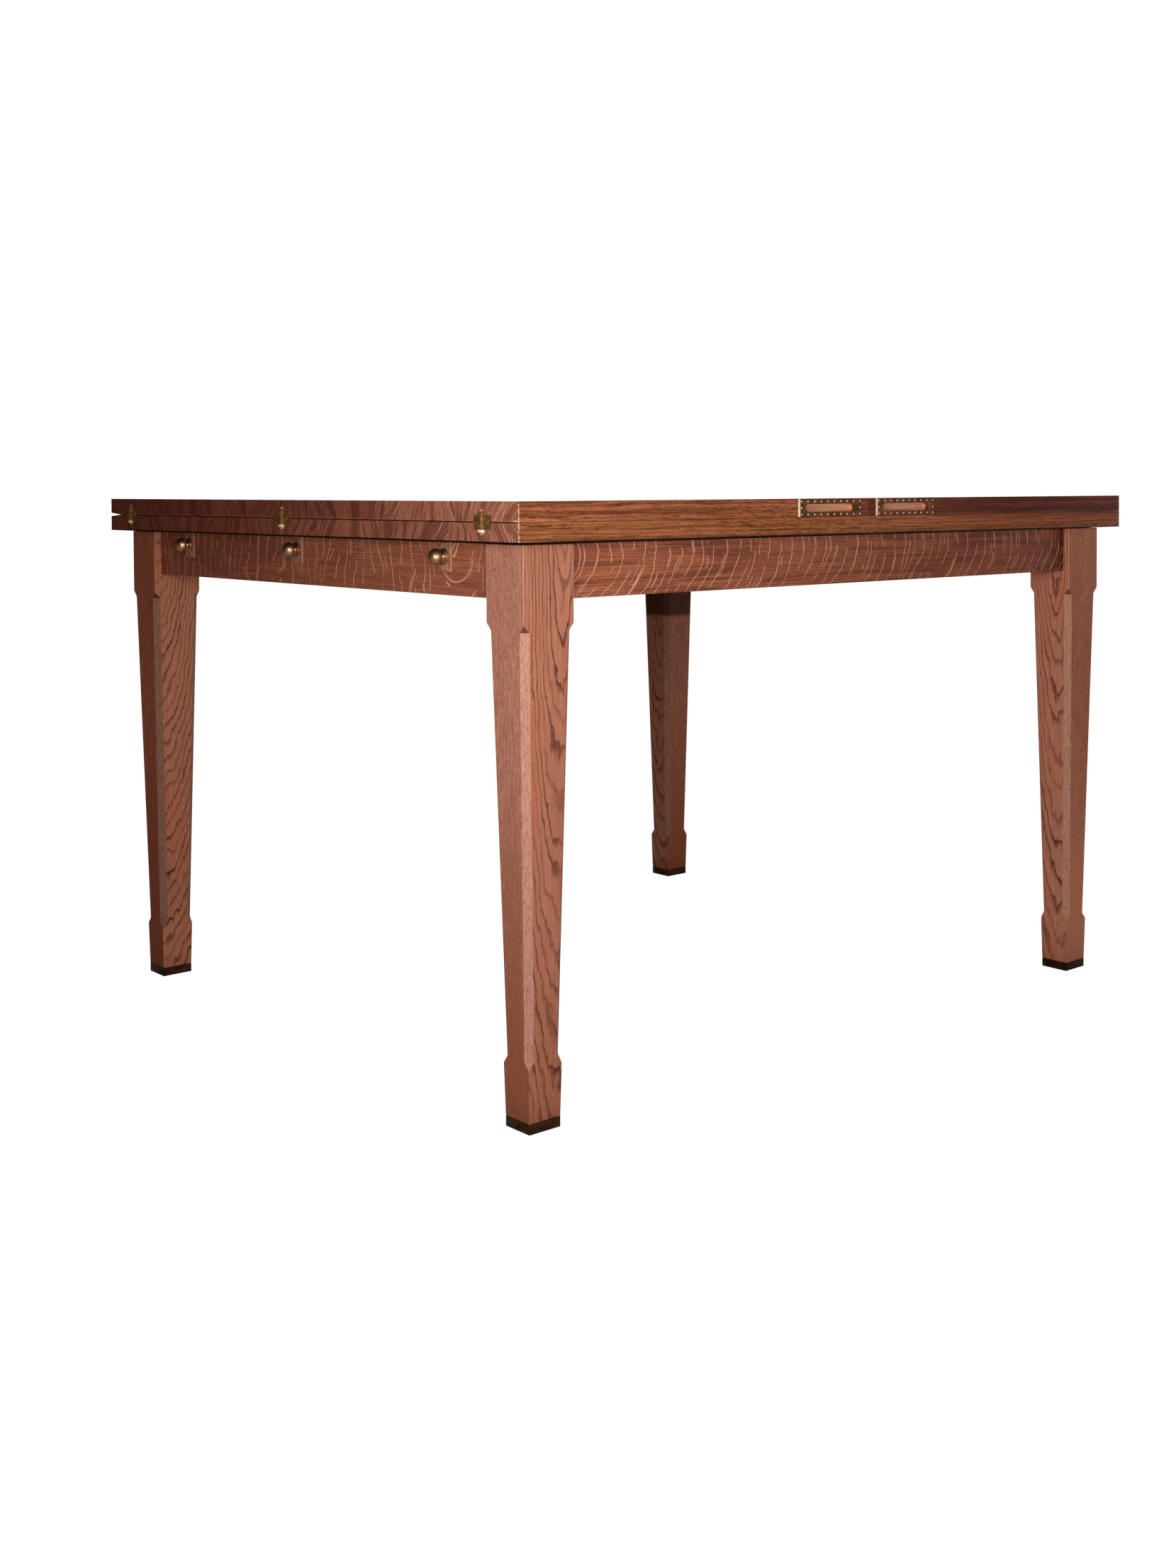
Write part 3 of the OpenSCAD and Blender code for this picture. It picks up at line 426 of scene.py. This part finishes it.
def apron_oak(name, along, seed, arc, loops, rows_k, tone=1.0):
    """Aprons: quarter-cut boards with silver rays crossing them. along is 'x' or 'y'."""
    s = Shader(name)
    u, v = (s.x, s.y) if along == "x" else (s.y, s.x)
    z = s.z
    t = s.m("SUBTRACT", 0.7104, z)
    warp = s.noise(s.vec(s.mad(u, 11.0, seed), s.m("MULTIPLY", t, 13.0), s.m("MULTIPLY", v, 3.0)), 1.0, 1.0)
    fine = s.noise(s.vec(s.mad(u, 60.0, seed), s.m("MULTIPLY", t, 75.0), s.m("MULTIPLY", v, 8.0)), 1.0, 1.0)
    a1, a2 = arc
    bow = s.m("ADD", s.m("MULTIPLY", t, a1), s.m("MULTIPLY", s.m("MULTIPLY", t, t), a2))
    q = s.m("ADD", s.m("SUBTRACT", u, bow), s.m("ADD", s.mad(warp, loops), s.mad(fine, 0.0045)))
    if along == "y":
        # the rays bunch and turn back in nested loops round one place
        du = s.mad(q, 1.0, 0.318)
        dt = s.mad(t, 1.0, 0.010)
        q = s.m("SQRT", s.m("ADD", s.m("MULTIPLY", du, du), s.m("MULTIPLY", s.m("MULTIPLY", dt, dt), 0.42)))
    lines = None
    for spacing, half, cut, off in ((0.0205, 0.00065, 0.42, 0.0), (0.0278, 0.0007, 0.48, 0.37), (0.0101, 0.00045, 0.60, 0.71)):
        ph = s.m("FRACT", s.mad(q, 1.0 / spacing, off + seed))
        d = s.m("MULTIPLY", s.m("ABSOLUTE", s.m("SUBTRACT", ph, 0.5)), spacing)
        ln = s.smooth(d, half * 0.5, half * 1.5, 1.0, 0.0)
        keep = s.noise(s.vec(s.mad(u, 20.0, seed + off * 9), s.m("MULTIPLY", t, 24.0), off * 5), 1.0, 2.0)
        ln = s.m("MULTIPLY", ln, s.smooth(keep, cut, cut + 0.06))
        lines = ln if lines is None else s.m("MAXIMUM", lines, ln)
    row_w = s.noise(s.vec(s.mad(u, 4.0, seed), s.m("MULTIPLY", t, 20.0), 0.0), 1.0, 1.0)
    row = s.m("FRACT", s.m("ADD", s.m("DIVIDE", t, 0.0034), s.mad(row_w, 3.0)))
    rows = s.m("MULTIPLY", s.smooth(row, 0.0, 0.25), s.smooth(row, 0.25, 0.7, 1.0, 0.0))
    p = pores(s, u, v, z, length=0.0034, width=0.00040, seed=seed)
    p_dark = s.m("MULTIPLY", s.smooth(p, 0.50, 0.62), s.mad(rows, 0.75, 0.25))
    fib = fibre(s, u, v, z, seed)
    patch = slow(s, u, v, z, 7.0, 28.0, seed, 2.0)
    c = s.mix(s.smooth(fib, 0.32, 0.68), lin(149, 85, 61), lin(188, 113, 84))
    pit = s.noise(s.vec(s.mad(u, 330.0, seed), s.m("MULTIPLY", v, 900.0), s.m("MULTIPLY", z, 1000.0)), 1.0, 2.0, 0.7)
    c = s.mix(s.smooth(pit, 0.50, 0.66, 0.0, 0.45), c, lin(96, 54, 41))
    c = s.mix(s.m("MULTIPLY", rows, rows_k), c, lin(112, 64, 47))
    c = s.mix(s.m("MULTIPLY", s.smooth(patch, 0.50, 0.68), 0.5), c, lin(122, 64, 52))
    c = s.mix(s.m("MULTIPLY", p_dark, 0.6), c, lin(84, 46, 35))
    if along == "x":
        streak = s.noise(s.vec(s.mad(u, 5.0, seed), 0.0, s.mad(z, 150.0, seed)), 1.0, 3.0, 0.6)
        c = s.mix(s.smooth(streak, 0.50, 0.62, 0.0, 0.6), c, lin(98, 50, 40))
        # painted shade: the long aprons are painted darker and redder towards +x, where less light reaches them
        c = s.mix(s.smooth(u, 0.0, 0.5, 0.0, 0.30), c, lin(112, 42, 26))
        # painted shadow: a dark band at the +x end, beside the right leg that stands proud of the apron
        c = s.mix(s.smooth(u, 0.478, 0.497, 0.0, 0.75), c, lin(52, 24, 18))
    else:
        pale = s.m("MULTIPLY", s.smooth(s.mad(fine, 0.03, u), -0.422, -0.412, 1.0, 0.0), s.smooth(s.mad(fine, 0.02, z), 0.628, 0.640, 1.0, 0.0))
        c = s.mix(s.m("MULTIPLY", pale, 0.55), c, lin(208, 146, 112))
        # painted shade: the end aprons are painted darker and redder towards +y, where less light reaches them
        c = s.mix(s.smooth(u, -0.05, 0.45, 0.0, 0.35), c, lin(150, 58, 32))
    c = s.mix(s.m("MULTIPLY", lines, 0.85), c, lin(226, 170, 138))
    c = s.tone(c, tone)
    # painted shadow: a near-black band along the top of the apron, under the fixed top
    c = s.mix(s.smooth(z, 0.7094, 0.7100, 0.0, 0.9), c, lin(16, 8, 6))
    # square holes and end grain are darker and plainer
    flat = s.smooth(s.m("ABSOLUTE", s.nx if along == "y" else s.ny), 0.6, 0.8)
    c = s.mix(flat, s.mix(s.smooth(fib, 0.3, 0.7), lin(104, 62, 45), lin(136, 84, 62)), c)
    rough = s.mad(fib, 0.18, s.mad(p_dark, 0.14, s.mad(lines, -0.1, 0.42)))
    s.bump(s.m("SUBTRACT", s.mad(fib, 0.3), p_dark), 0.35, 0.0004)
    return s.done(c, rough, specular=0.14, **{"Specular Tint": SHEEN})


def loper_oak(name, seed):
    """Lopers: straight oak rails along x, pale where the end grain stands out of the apron."""
    s = Shader(name)
    x, y, z = s.x, s.y, s.z
    fib = fibre(s, x, y, z, seed)
    p = pores(s, x, y, z, seed=seed)
    wob = s.noise(s.vec(s.mad(x, 2.0, seed), s.m("MULTIPLY", y, 20.0), s.m("MULTIPLY", z, 20.0)), 1.0, 2.0)
    dy = s.mad(y, 1.0, -0.09 + seed * 0.03)
    dz = s.mad(z, 1.0, -0.60)
    r = s.m("SQRT", s.m("ADD", s.m("MULTIPLY", dy, dy), s.m("MULTIPLY", dz, dz)))
    f, ring = ring_bands(s, r, 0.0036, s.mad(wob, 2.0, seed))
    early = s.m("MULTIPLY", s.smooth(f, 0.0, 0.15), s.smooth(f, 0.15, 0.7, 1.0, 0.0))
    c = s.mix(s.smooth(fib, 0.3, 0.7), lin(136, 86, 60), lin(170, 114, 82))
    c = s.mix(s.m("MULTIPLY", early, 0.35), c, lin(106, 64, 44))
    c = s.mix(s.m("MULTIPLY", s.smooth(p, 0.53, 0.64), 0.6), c, lin(76, 44, 32))
    pe = s.noise(s.vec(s.m("MULTIPLY", x, 30.0), s.m("MULTIPLY", y, 900.0), s.m("MULTIPLY", z, 900.0)), 1.0, 1.0)
    mott = s.noise(s.vec(s.mad(x, 9.0, seed), s.m("MULTIPLY", y, 150.0), s.m("MULTIPLY", z, 110.0)), 1.0, 3.0, 0.6)
    e = s.mix(s.smooth(mott, 0.36, 0.62), lin(148, 94, 70), lin(196, 138, 108))
    e = s.mix(s.m("MULTIPLY", s.smooth(pe, 0.52, 0.64), s.mad(early, 0.5, 0.35)), e, lin(74, 44, 33))
    # painted highlight, partly bare wood: a pale band on the end faces beside each loper's side, where that proud side
    # catches the light
    side = None
    for cy in (-0.345, -0.020, 0.020, 0.345):
        k = s.between(s.mad(y, 1.0, -cy), -0.0150, -0.0133, 0.0001)
        side = k if side is None else s.m("MAXIMUM", side, k)
    e = s.mix(s.m("MULTIPLY", side, 0.85), e, lin(236, 180, 150))
    c = s.mix(s.smooth(s.m("ABSOLUTE", s.nx), 0.6, 0.8), c, e)
    s.bump(s.m("SUBTRACT", s.mad(fib, 0.35), s.smooth(p, 0.53, 0.64)), 0.3, 0.0004)
    return s.done(c, s.mad(fib, 0.15, 0.46), specular=0.14)


def inner_oak(name, along, seed=2.0):
    """Rails, channels, ledgers and blocks inside: the same oak, sawn and left plain."""
    s = Shader(name)
    order = {"x": (s.x, s.y, s.z), "y": (s.y, s.x, s.z), "z": (s.z, s.x, s.y)}[along]
    u, v, w = order
    fib = fibre(s, u, v, w, seed)
    p = pores(s, u, v, w, seed=seed)
    streak = slow(s, u, v, w, 2.0, 70.0, seed, 3.0)
    saw = s.m("SINE", s.m("MULTIPLY", u, 2 * math.pi / 0.0031))
    c = s.mix(s.smooth(s.mad(streak, 0.6, s.mad(fib, 0.4)), 0.35, 0.65), lin(118, 76, 50), lin(160, 110, 76))
    c = s.mix(s.m("MULTIPLY", s.smooth(p, 0.54, 0.66), 0.6), c, lin(80, 48, 32))
    c = s.mix(s.mad(saw, 0.04, 0.04), c, lin(90, 56, 38))
    s.bump(s.m("SUBTRACT", s.mad(saw, 0.15, s.mad(fib, 0.4)), s.smooth(p, 0.54, 0.66)), 0.3, 0.0004)
    return s.done(c, s.mad(fib, 0.12, 0.58), specular=0.3)


def edge_wear_and_glint(name, k=1.0):
    """The rubbed arris of a board, partly painted highlight: paler, as worn wood catching the light, with broken
    streaks of the finish left on it.
    """
    s = Shader(name)
    n = s.noise(s.pos, 160.0, 3.0, 0.6)
    g = s.noise(s.pos, 35.0, 2.0, 0.5)
    c = s.mix(s.smooth(s.mad(n, 0.6, s.mad(g, 0.4)), 0.40, 0.60), lin(150, 92, 64, k), lin(214, 160, 128, k))
    s.bump(n, 0.2, 0.0003)
    return s.done(c, s.mad(n, 0.2, 0.4), specular=0.14)


# ------------------------------------------------------------------ metals, felt, baize
def brass(name, light, dark, rough, amount, scale=1.0, brushed=None, rub_and_glint=None, pale=lin(255, 240, 214)):
    """Brass under an uneven brown patina."""
    s = Shader(name)
    n = s.noise(s.pos, 130.0 * scale, 4.0, 0.62)
    m = s.noise(s.pos, 900.0 * scale, 2.0, 0.5)
    k = s.smooth(s.mad(n, 0.75, s.mad(m, 0.25)), 0.5 - amount, 0.5 + amount)
    c = s.mix(k, dark, light)
    spots = s.smooth(s.noise(s.pos, 420.0 * scale, 1.0), 0.64, 0.70)
    c = s.mix(s.m("MULTIPLY", spots, 0.55), c, (dark[0] * 0.45, dark[1] * 0.42, dark[2] * 0.4, 1))
    metal = 1.0
    if rub_and_glint:
        # painted highlights, partly rubbed and scratched brass: pale places that scatter the light, where the brass
        # catches it
        w = rub_and_glint(s)
        c = s.mix(w, c, pale)
        metal = s.mad(w, -1.0, 1.0)
    h = s.mad(m, 0.4, s.mad(n, 0.6))
    if brushed:
        d = [s.x, s.y, s.z]
        d = [s.m("MULTIPLY", c_, 40.0 if i == brushed - 1 else 2600.0) for i, c_ in enumerate(d)]
        b = s.noise(s.vec(*d), 1.0, 1.0)
        h = s.mad(b, 0.5, h)
    s.bump(h, 0.22, 0.0003)
    return s.done(c, s.mad(k, -0.10, s.mad(m, 0.14, rough)), metal=metal, specular=0.5)


def plate_ends(s):
    """Painted highlight: the raised left rim of each pull plate, seen from the front, painted pale where it catches
    the light.
    """
    return s.m("MAXIMUM", s.between(s.x, -0.1370, -0.1348, 0.0001), s.between(s.x, 0.0160, 0.0184, 0.0001))


# painted highlight: the faces of the pin heads that face front or back are painted pale, as the glint on their domed
# crowns
def pin_crowns(s):
    return s.smooth(s.m("ABSOLUTE", s.ny), 0.86, 0.95, 0.0, 1.0)


# painted highlight, partly wear: pale streaks on the upright corners of the foot shoes, where they catch the light
def upright_corners(s):
    return s.smooth(s.m("ABSOLUTE", s.m("MULTIPLY", s.nx, s.ny)), 0.30, 0.42, 0.0, 0.85)


def strap_ends(s):
    """Painted highlight, partly bare brass: the lower ends and one side of the upper ends of the hinge straps, painted
    pale where they catch the light.
    """
    off = None
    for hy in HINGE_Y:
        k = s.between(s.mad(s.y, 1.0, -hy), -0.0060, -0.0022, 0.0002)
        off = k if off is None else s.m("MAXIMUM", off, k)
    off = s.m("MULTIPLY", off, s.smooth(s.m("ABSOLUTE", s.x), 0.5963, 0.5966, 1.0, 0.0))
    side = s.m("MULTIPLY", off, s.between(s.z, 0.7390, 0.7480, 0.0004))
    return s.m("MAXIMUM", s.smooth(s.z, 0.7276, 0.7282, 0.85, 0.0), s.m("MULTIPLY", side, 0.8))


def steel(name):
    s = Shader(name)
    n = s.noise(s.pos, 300.0, 3.0, 0.6)
    c = s.mix(s.smooth(n, 0.4, 0.62), lin(104, 98, 92), lin(166, 162, 156))
    s.bump(n, 0.15, 0.0003)
    return s.done(c, s.mad(n, 0.25, 0.28), metal=1.0, specular=0.5)


def cloth(name, a, b, c_, scale=1.0, rough=0.95):
    """Felt and baize: a napped cloth with fine fibres, and a slow shading of its nap."""
    s = Shader(name)
    f1 = s.noise(s.pos, 1500.0 * scale, 3.0, 0.7, 0.6)
    f2 = s.noise(s.pos, 380.0 * scale, 3.0, 0.6, 0.8)
    f3 = s.noise(s.pos, 9.0, 2.0, 0.5)
    c = s.mix(s.smooth(s.mad(f1, 0.5, s.mad(f2, 0.5)), 0.38, 0.62), a, b)
    c = s.mix(s.m("MULTIPLY", s.smooth(f3, 0.4, 0.7), 0.35), c, c_)
    s.bump(s.mad(f1, 0.6, s.mad(f2, 0.4)), 0.5, 0.0005)
    return s.done(c, rough, specular=0.2, **{"Sheen Weight": 0.25, "Sheen Roughness": 0.5})


SIDE = (lin(172, 106, 65), lin(138, 80, 48), lin(104, 58, 33))
LEAF = (lin(166, 98, 65), lin(132, 71, 46), lin(98, 52, 33))
LX, LY = 0.5345, 0.484
M = {
    "top_fixed": top_oak("oak_fixed_top", 1.0, 0.72445, False, SIDE),
    "leaf_left": top_oak("oak_leaf_left", 2.0, 0.74955, True, LEAF),
    "leaf_right": top_oak("oak_leaf_right", 3.0, 0.74955, True, LEAF),
    "leg_fl": leg_oak("oak_leg_front_left", -LX, -LY, "x", 0.022, 1.3, 0.96, calm=(1.08, 1.14, 1.18, 1), ink=0.86),
    "leg_bl": leg_oak("oak_leg_back_left", -LX, LY, "x", -0.034, 2.7, 1.12, 0.60, lean=0.165, calm=(0.94, 0.70, 0.56, 1), ink=1.0),
    "leg_fr": leg_oak("oak_leg_front_right", LX, -LY, "y", -0.014, 4.1, 1.58, 0.88, calm=(0.71, 0.63, 0.57, 1)),
    "leg_br": leg_oak("oak_leg_back_right", LX, LY, "y", -0.010, 6.4, 0.96, 0.80, 0.85),
    "apron_x": apron_oak("oak_apron_long", "x", 1.0, (0.36, -11.5), 0.030, 0.22),
    "apron_y": apron_oak("oak_apron_end", "y", 2.6, (0.10, -1.0), 0.070, 0.08),
    "loper": loper_oak("oak_loper", 1.0),
    "inner_x": inner_oak("oak_inner_x", "x"),
    "inner_y": inner_oak("oak_inner_y", "y"),
    "inner_z": inner_oak("oak_inner_z", "z"),
    "edge": edge_wear_and_glint("oak_edge_wear_and_glint"),
    "shoe": brass("brass_shoe", lin(104, 76, 46), lin(58, 40, 25), 0.44, 0.16, 0.5),
    # the shoe edge is paler brass: partly worn, partly painted highlight along the eased edges
    "shoe_edge": brass("brass_shoe_edge", lin(206, 170, 120), lin(150, 112, 72), 0.34, 0.2, rub_and_glint=upright_corners),
    "hinge": brass("brass_hinge", lin(186, 146, 84), lin(120, 92, 48), 0.66, 0.18),
    "strap": brass("brass_strap", lin(176, 140, 80), lin(116, 88, 46), 0.74, 0.18, rub_and_glint=strap_ends),
    "plate": brass("brass_plate", lin(150, 98, 60), lin(92, 56, 34), 0.46, 0.16, 0.6, brushed=1, rub_and_glint=plate_ends),
    # the plate edge is paler brass: partly worn, partly painted highlight along the eased edges
    "plate_edge": brass("brass_plate_edge", lin(226, 194, 150), lin(168, 130, 88), 0.30, 0.2),
    "pin": brass("brass_pin", lin(120, 84, 52), lin(84, 56, 34), 0.36, 0.2, rub_and_glint=pin_crowns),
    "knob": brass("brass_knob", lin(222, 178, 140), lin(156, 108, 76), 0.40, 0.2, 0.7),
    "steel": steel("steel_fixings"),
    # painted shade, partly real felt: the packing strips are near-black felt, and their black also stands for the
    # shade in the gap under the fixed top
    "felt": cloth("felt_black", lin(8, 7, 7), lin(20, 18, 17), lin(12, 10, 10)),
    "baize": cloth("baize_green", lin(22, 66, 44), lin(38, 92, 62), lin(26, 74, 46)),
}


# ------------------------------------------------------------------ which piece wears what
def look(node):
    """(material, edge material or None, bevel width in m, shortest edge that is eased, slot). The edge material is
    paler: partly wear, partly painted highlight.
    """
    if node.startswith("leg_bolts"):
        return "steel", None, 0, 0, "steel"
    if node.startswith("leg_"):
        return {"leg_front_left": "leg_fl", "leg_back_left": "leg_bl", "leg_front_right": "leg_fr", "leg_back_right": "leg_br"}[node], "edge", 0.0007, 0.02, "leg_oak"
    if node == "foot_shoes":
        return "shoe", "shoe_edge", 0.0008, 0.01, "aged_brass"
    if node in ("apron_front", "apron_back"):
        return "apron_x", None, 0.0007, 0.5, "apron_oak"
    if node in ("apron_left", "apron_right"):
        return "apron_y", None, 0.0007, 0.5, "apron_oak"
    if node.startswith(("corner_brace", "top_buttons")):
        return "inner_y", None, 0, 0, "inner_oak"
    if node in ("top_button_screws", "foot_shoe_screws") or node.startswith("hinge_pins"):
        return "steel", None, 0, 0, "steel"
    if node.startswith("stop_pin"):
        return "inner_z", None, 0, 0, "inner_oak"
    if node.startswith("loper_ledger"):
        return "inner_y", None, 0, 0, "inner_oak"
    if node == "centre_rail":
        return "inner_y", None, 0, 0, "inner_oak"
    if node.startswith("loper_channel"):
        return "inner_x", None, 0, 0, "inner_oak"
    if node.startswith("loper_"):
        return "loper", "edge", 0.0008, 0.02, "apron_oak"
    if node == "packing_strips":
        return "felt", None, 0, 0, "black_felt"
    if node == "baize":
        return "baize", None, 0, 0, "baize"
    if node == "fixed_top":
        return "top_fixed", None, 0, 0, "top_oak"
    if node in ("leaf_left", "leaf_right"):
        return node, None, 0, 0, "top_oak"
    if node.startswith("hinge_straps"):
        return "strap", None, 0, 0, "hinge_brass"
    if node.startswith("hinge_"):
        return "hinge", None, 0, 0, "hinge_brass"
    if node.startswith("pull_plate"):
        return "plate", "plate_edge", 0.0005, 0.02, "aged_brass"
    if node.startswith("pull_pins"):
        return "pin", None, 0, 0, "polished_brass"
    if node.startswith("knob_"):
        return "knob", None, 0, 0, "polished_brass"
    raise ValueError("no look for " + node)


def volume(bm):
    return abs(bm.calc_volume())


def eased(node, width, shortest, main, edge):
    """A copy of a CAD node with its long sharp edges eased by width; the easing wears edge's material."""
    src = nodes[node]
    me = src.data.copy()
    me.name = node + "_eased"
    bm = bmesh.new()
    bm.from_mesh(me)
    bmesh.ops.remove_doubles(bm, verts=bm.verts, dist=2e-6)
    before = volume(bm)
    bmesh.ops.dissolve_limit(bm, angle_limit=math.radians(0.6), verts=bm.verts, edges=bm.edges)
    bm.normal_update()
    pick = []
    for e in bm.edges:
        if len(e.link_faces) != 2 or e.calc_length() < shortest:
            continue
        try:
            ang = e.calc_face_angle_signed()
        except ValueError:
            continue
        if ang > math.radians(20):
            pick.append(e)
    for f in bm.faces:
        f.material_index = 0
        f.smooth = False
    if pick:
        bmesh.ops.bevel(bm, geom=pick, offset=width, offset_type="OFFSET", segments=1, profile=0.5,
                        affect="EDGES", clamp_overlap=True, material=1 if edge else 0, loop_slide=True)
    bmesh.ops.remove_doubles(bm, verts=bm.verts, dist=1e-7)
    after = volume(bm)
    bad = [e for e in bm.edges if not e.is_manifold]
    ok = not bad and 0.93 < after / before <= 1.0001
    print("EASED", node, len(pick), "edges", "bad", len(bad), "volume", round(after / before, 5), "ok" if ok else "KEPT CAD")
    if not ok:
        bm.free()
        return None
    bm.to_mesh(me)
    bm.free()
    me.materials.clear()
    me.materials.append(M[main])
    if edge:
        me.materials.append(M[edge])
    ob = bpy.data.objects.new(node + "_eased", me)
    bpy.context.scene.collection.objects.link(ob)
    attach(ob, node_body[node])
    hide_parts(node)
    return ob


for node, ob in nodes.items():
    main, edge, width, shortest, slot = look(node)
    ob.data.materials.clear()
    ob.data.materials.append(M[main])
    if width:
        eased(node, width, shortest, main, edge)

# ------------------------------------------------------------------ floor, light, camera
floor_mesh = bpy.data.meshes.new("studio_floor")
R = 14.0
floor_mesh.from_pydata([(-R, -R, 0), (R, -R, 0), (R, R, 0), (-R, R, 0)], [], [(0, 1, 2, 3)])
floor = bpy.data.objects.new("studio_floor", floor_mesh)
floor.location.z = cad_box[0][2] - 0.0002
bpy.context.scene.collection.objects.link(floor)
fm = bpy.data.materials.new("studio_floor_white")
fm.use_nodes = True
ft = fm.node_tree
ft.nodes.clear()
fo = ft.nodes.new("ShaderNodeOutputMaterial")
fd = ft.nodes.new("ShaderNodeBsdfDiffuse")
fd.inputs[0].default_value = (0.55, 0.52, 0.50, 1)
fe = ft.nodes.new("ShaderNodeEmission")
fe.inputs[0].default_value = (1, 1, 1, 1)
fe.inputs[1].default_value = 1.05
fp = ft.nodes.new("ShaderNodeLightPath")
fx = ft.nodes.new("ShaderNodeMixShader")
fs = ft.nodes.new("ShaderNodeMath")
fs.operation = "MULTIPLY"
fs.inputs[1].default_value = 0.97
ft.links.new(fp.outputs["Is Camera Ray"], fs.inputs[0])
ft.links.new(fs.outputs[0], fx.inputs[0])
ft.links.new(fd.outputs[0], fx.inputs[1])
ft.links.new(fe.outputs[0], fx.inputs[2])
ft.links.new(fx.outputs[0], fo.inputs[0])
floor_mesh.materials.append(fm)

# a white backdrop glows behind the table, the rest of the room is dim and warm
world = bpy.data.worlds.new("studio")
bpy.context.scene.world = world
world.use_nodes = True
wt = world.node_tree
wt.nodes.clear()


def wn(kind, **props):
    n = wt.nodes.new(kind)
    for k, v in props.items():
        setattr(n, k, v)
    return n


wo = wn("ShaderNodeOutputWorld")
wb = wn("ShaderNodeBackground")
wc = wn("ShaderNodeTexCoord")
wd = wn("ShaderNodeVectorMath", operation="DOT_PRODUCT")
wd.inputs[1].default_value = (0.70, 0.70, 0.14)
wr = wn("ShaderNodeMapRange", interpolation_type="SMOOTHSTEP", clamp=True)
wr.inputs[1].default_value = 0.60
wr.inputs[2].default_value = 0.90
wt_glow = wn("ShaderNodeMix", data_type="RGBA")
wt_glow.inputs[6].default_value = (0.035, 0.021, 0.0155, 1)
wt_glow.inputs[7].default_value = (1.25, 1.25, 1.25, 1)
wp = wn("ShaderNodeLightPath")
wt_see = wn("ShaderNodeMix", data_type="RGBA")
wt_see.inputs[7].default_value = (1.0, 1.0, 1.0, 1)
wt.links.new(wc.outputs["Generated"], wd.inputs[0])
wt.links.new(wd.outputs["Value"], wr.inputs[0])
# in mirror reflections the glow stays low, so that waxed tops don't look milky from above
wz = wn("ShaderNodeSeparateXYZ")
wt.links.new(wc.outputs["Generated"], wz.inputs[0])
wh = wn("ShaderNodeMapRange", interpolation_type="SMOOTHSTEP", clamp=True)
wh.inputs[1].default_value = 0.035
wh.inputs[2].default_value = 0.13
wt.links.new(wz.outputs[2], wh.inputs[0])
wg = wn("ShaderNodeMath", operation="MULTIPLY")
wt.links.new(wp.outputs["Is Glossy Ray"], wg.inputs[0])
wt.links.new(wh.outputs[0], wg.inputs[1])
wi = wn("ShaderNodeMath", operation="SUBTRACT")
wi.inputs[0].default_value = 1.0
wt.links.new(wg.outputs[0], wi.inputs[1])
wk = wn("ShaderNodeMath", operation="MULTIPLY")
wt.links.new(wr.outputs[0], wk.inputs[0])
wt.links.new(wi.outputs[0], wk.inputs[1])
wt.links.new(wk.outputs[0], wt_glow.inputs[0])
wt.links.new(wt_glow.outputs[2], wt_see.inputs[6])
wt.links.new(wp.outputs["Is Camera Ray"], wt_see.inputs[0])
wt.links.new(wt_see.outputs[2], wb.inputs[0])
wt.links.new(wb.outputs[0], wo.inputs[0])


def softbox(name, at, target, size, watts, colour=(1, 1, 1)):
    li = bpy.data.lights.new(name, "AREA")
    li.shape = "RECTANGLE"
    li.size, li.size_y = size
    li.energy = watts
    li.color = colour
    ob = bpy.data.objects.new(name, li)
    ob.location = at
    ob.rotation_euler = (Vector(target) - Vector(at)).to_track_quat("-Z", "Y").to_euler()
    ob.visible_camera = False
    bpy.context.scene.collection.objects.link(ob)
    return ob


WARM = (1.0, 0.99, 0.96)
# The two keys stand at table height, and the polished leaves would mirror them as white patches
# seen from behind. So the leaves get the same light from twins that cast no reflections.
linked = {}
for state in ("INCLUDE", "EXCLUDE"):
    linked[state] = bpy.data.collections.new("leaves_" + state.lower())
    for ob in bpy.data.objects:
        if ob.type == "MESH" and ob.name.startswith(("leaf_left", "leaf_right")):
            linked[state].objects.link(ob)
    for co in linked[state].collection_objects:
        co.light_linking.link_state = state
for row in (("key_end", (-1.30, -1.00, 0.76), (-0.55, -0.50, 0.60), (0.35, 0.35), 6.2, WARM),
            ("key_front", (-0.95, -1.45, 0.74), (-0.55, -0.50, 0.60), (0.35, 0.35), 7.0, WARM)):
    softbox(*row).light_linking.receiver_collection = linked["EXCLUDE"]
    twin = softbox(row[0] + "_leaves", *row[1:])
    twin.light_linking.receiver_collection = linked["INCLUDE"]
    twin.visible_glossy = False
softbox("rake_right", (2.6, -1.2, 0.6), (0.35, -0.5, 0.5), (0.6, 0.6), 8.2, (1.0, 0.86, 0.76))
softbox("fill_right", (1.0, -2.6, 0.72), (0.4, -0.5, 0.5), (0.8, 0.8), 4.8, (1.0, 0.90, 0.82))
softbox("overhead", (0.3, 1.0, 3.1), (0.0, 0.1, 0.7), (2.2, 2.2), 21.0, (1.0, 0.97, 0.93))

cam = bpy.data.cameras.new("camera")
cam.sensor_fit = "AUTO"
cam.sensor_width = 36.0
cam.lens = 41.299987
cam.shift_x = -0.08110989
cam.shift_y = -0.15933639
cam.clip_start = 0.02
cam.clip_end = 60.0
camera = bpy.data.objects.new("camera", cam)
bpy.context.scene.collection.objects.link(camera)
ax = Vector((0.73489413, -0.67817387, -0.00329056))
ay = Vector((0.02029772, 0.01714498, 0.99964696))
az = Vector((-0.67787803, -0.73470147, 0.02636513))
rot = Matrix((ax, ay, az)).transposed().to_4x4()
camera.matrix_world = Matrix.Translation(Vector((-1.84277, -2.232511, 0.778197))) @ rot
bpy.context.scene.camera = camera
bpy.context.scene.view_settings.view_transform = "Standard"

bpy.context.view_layer.update()
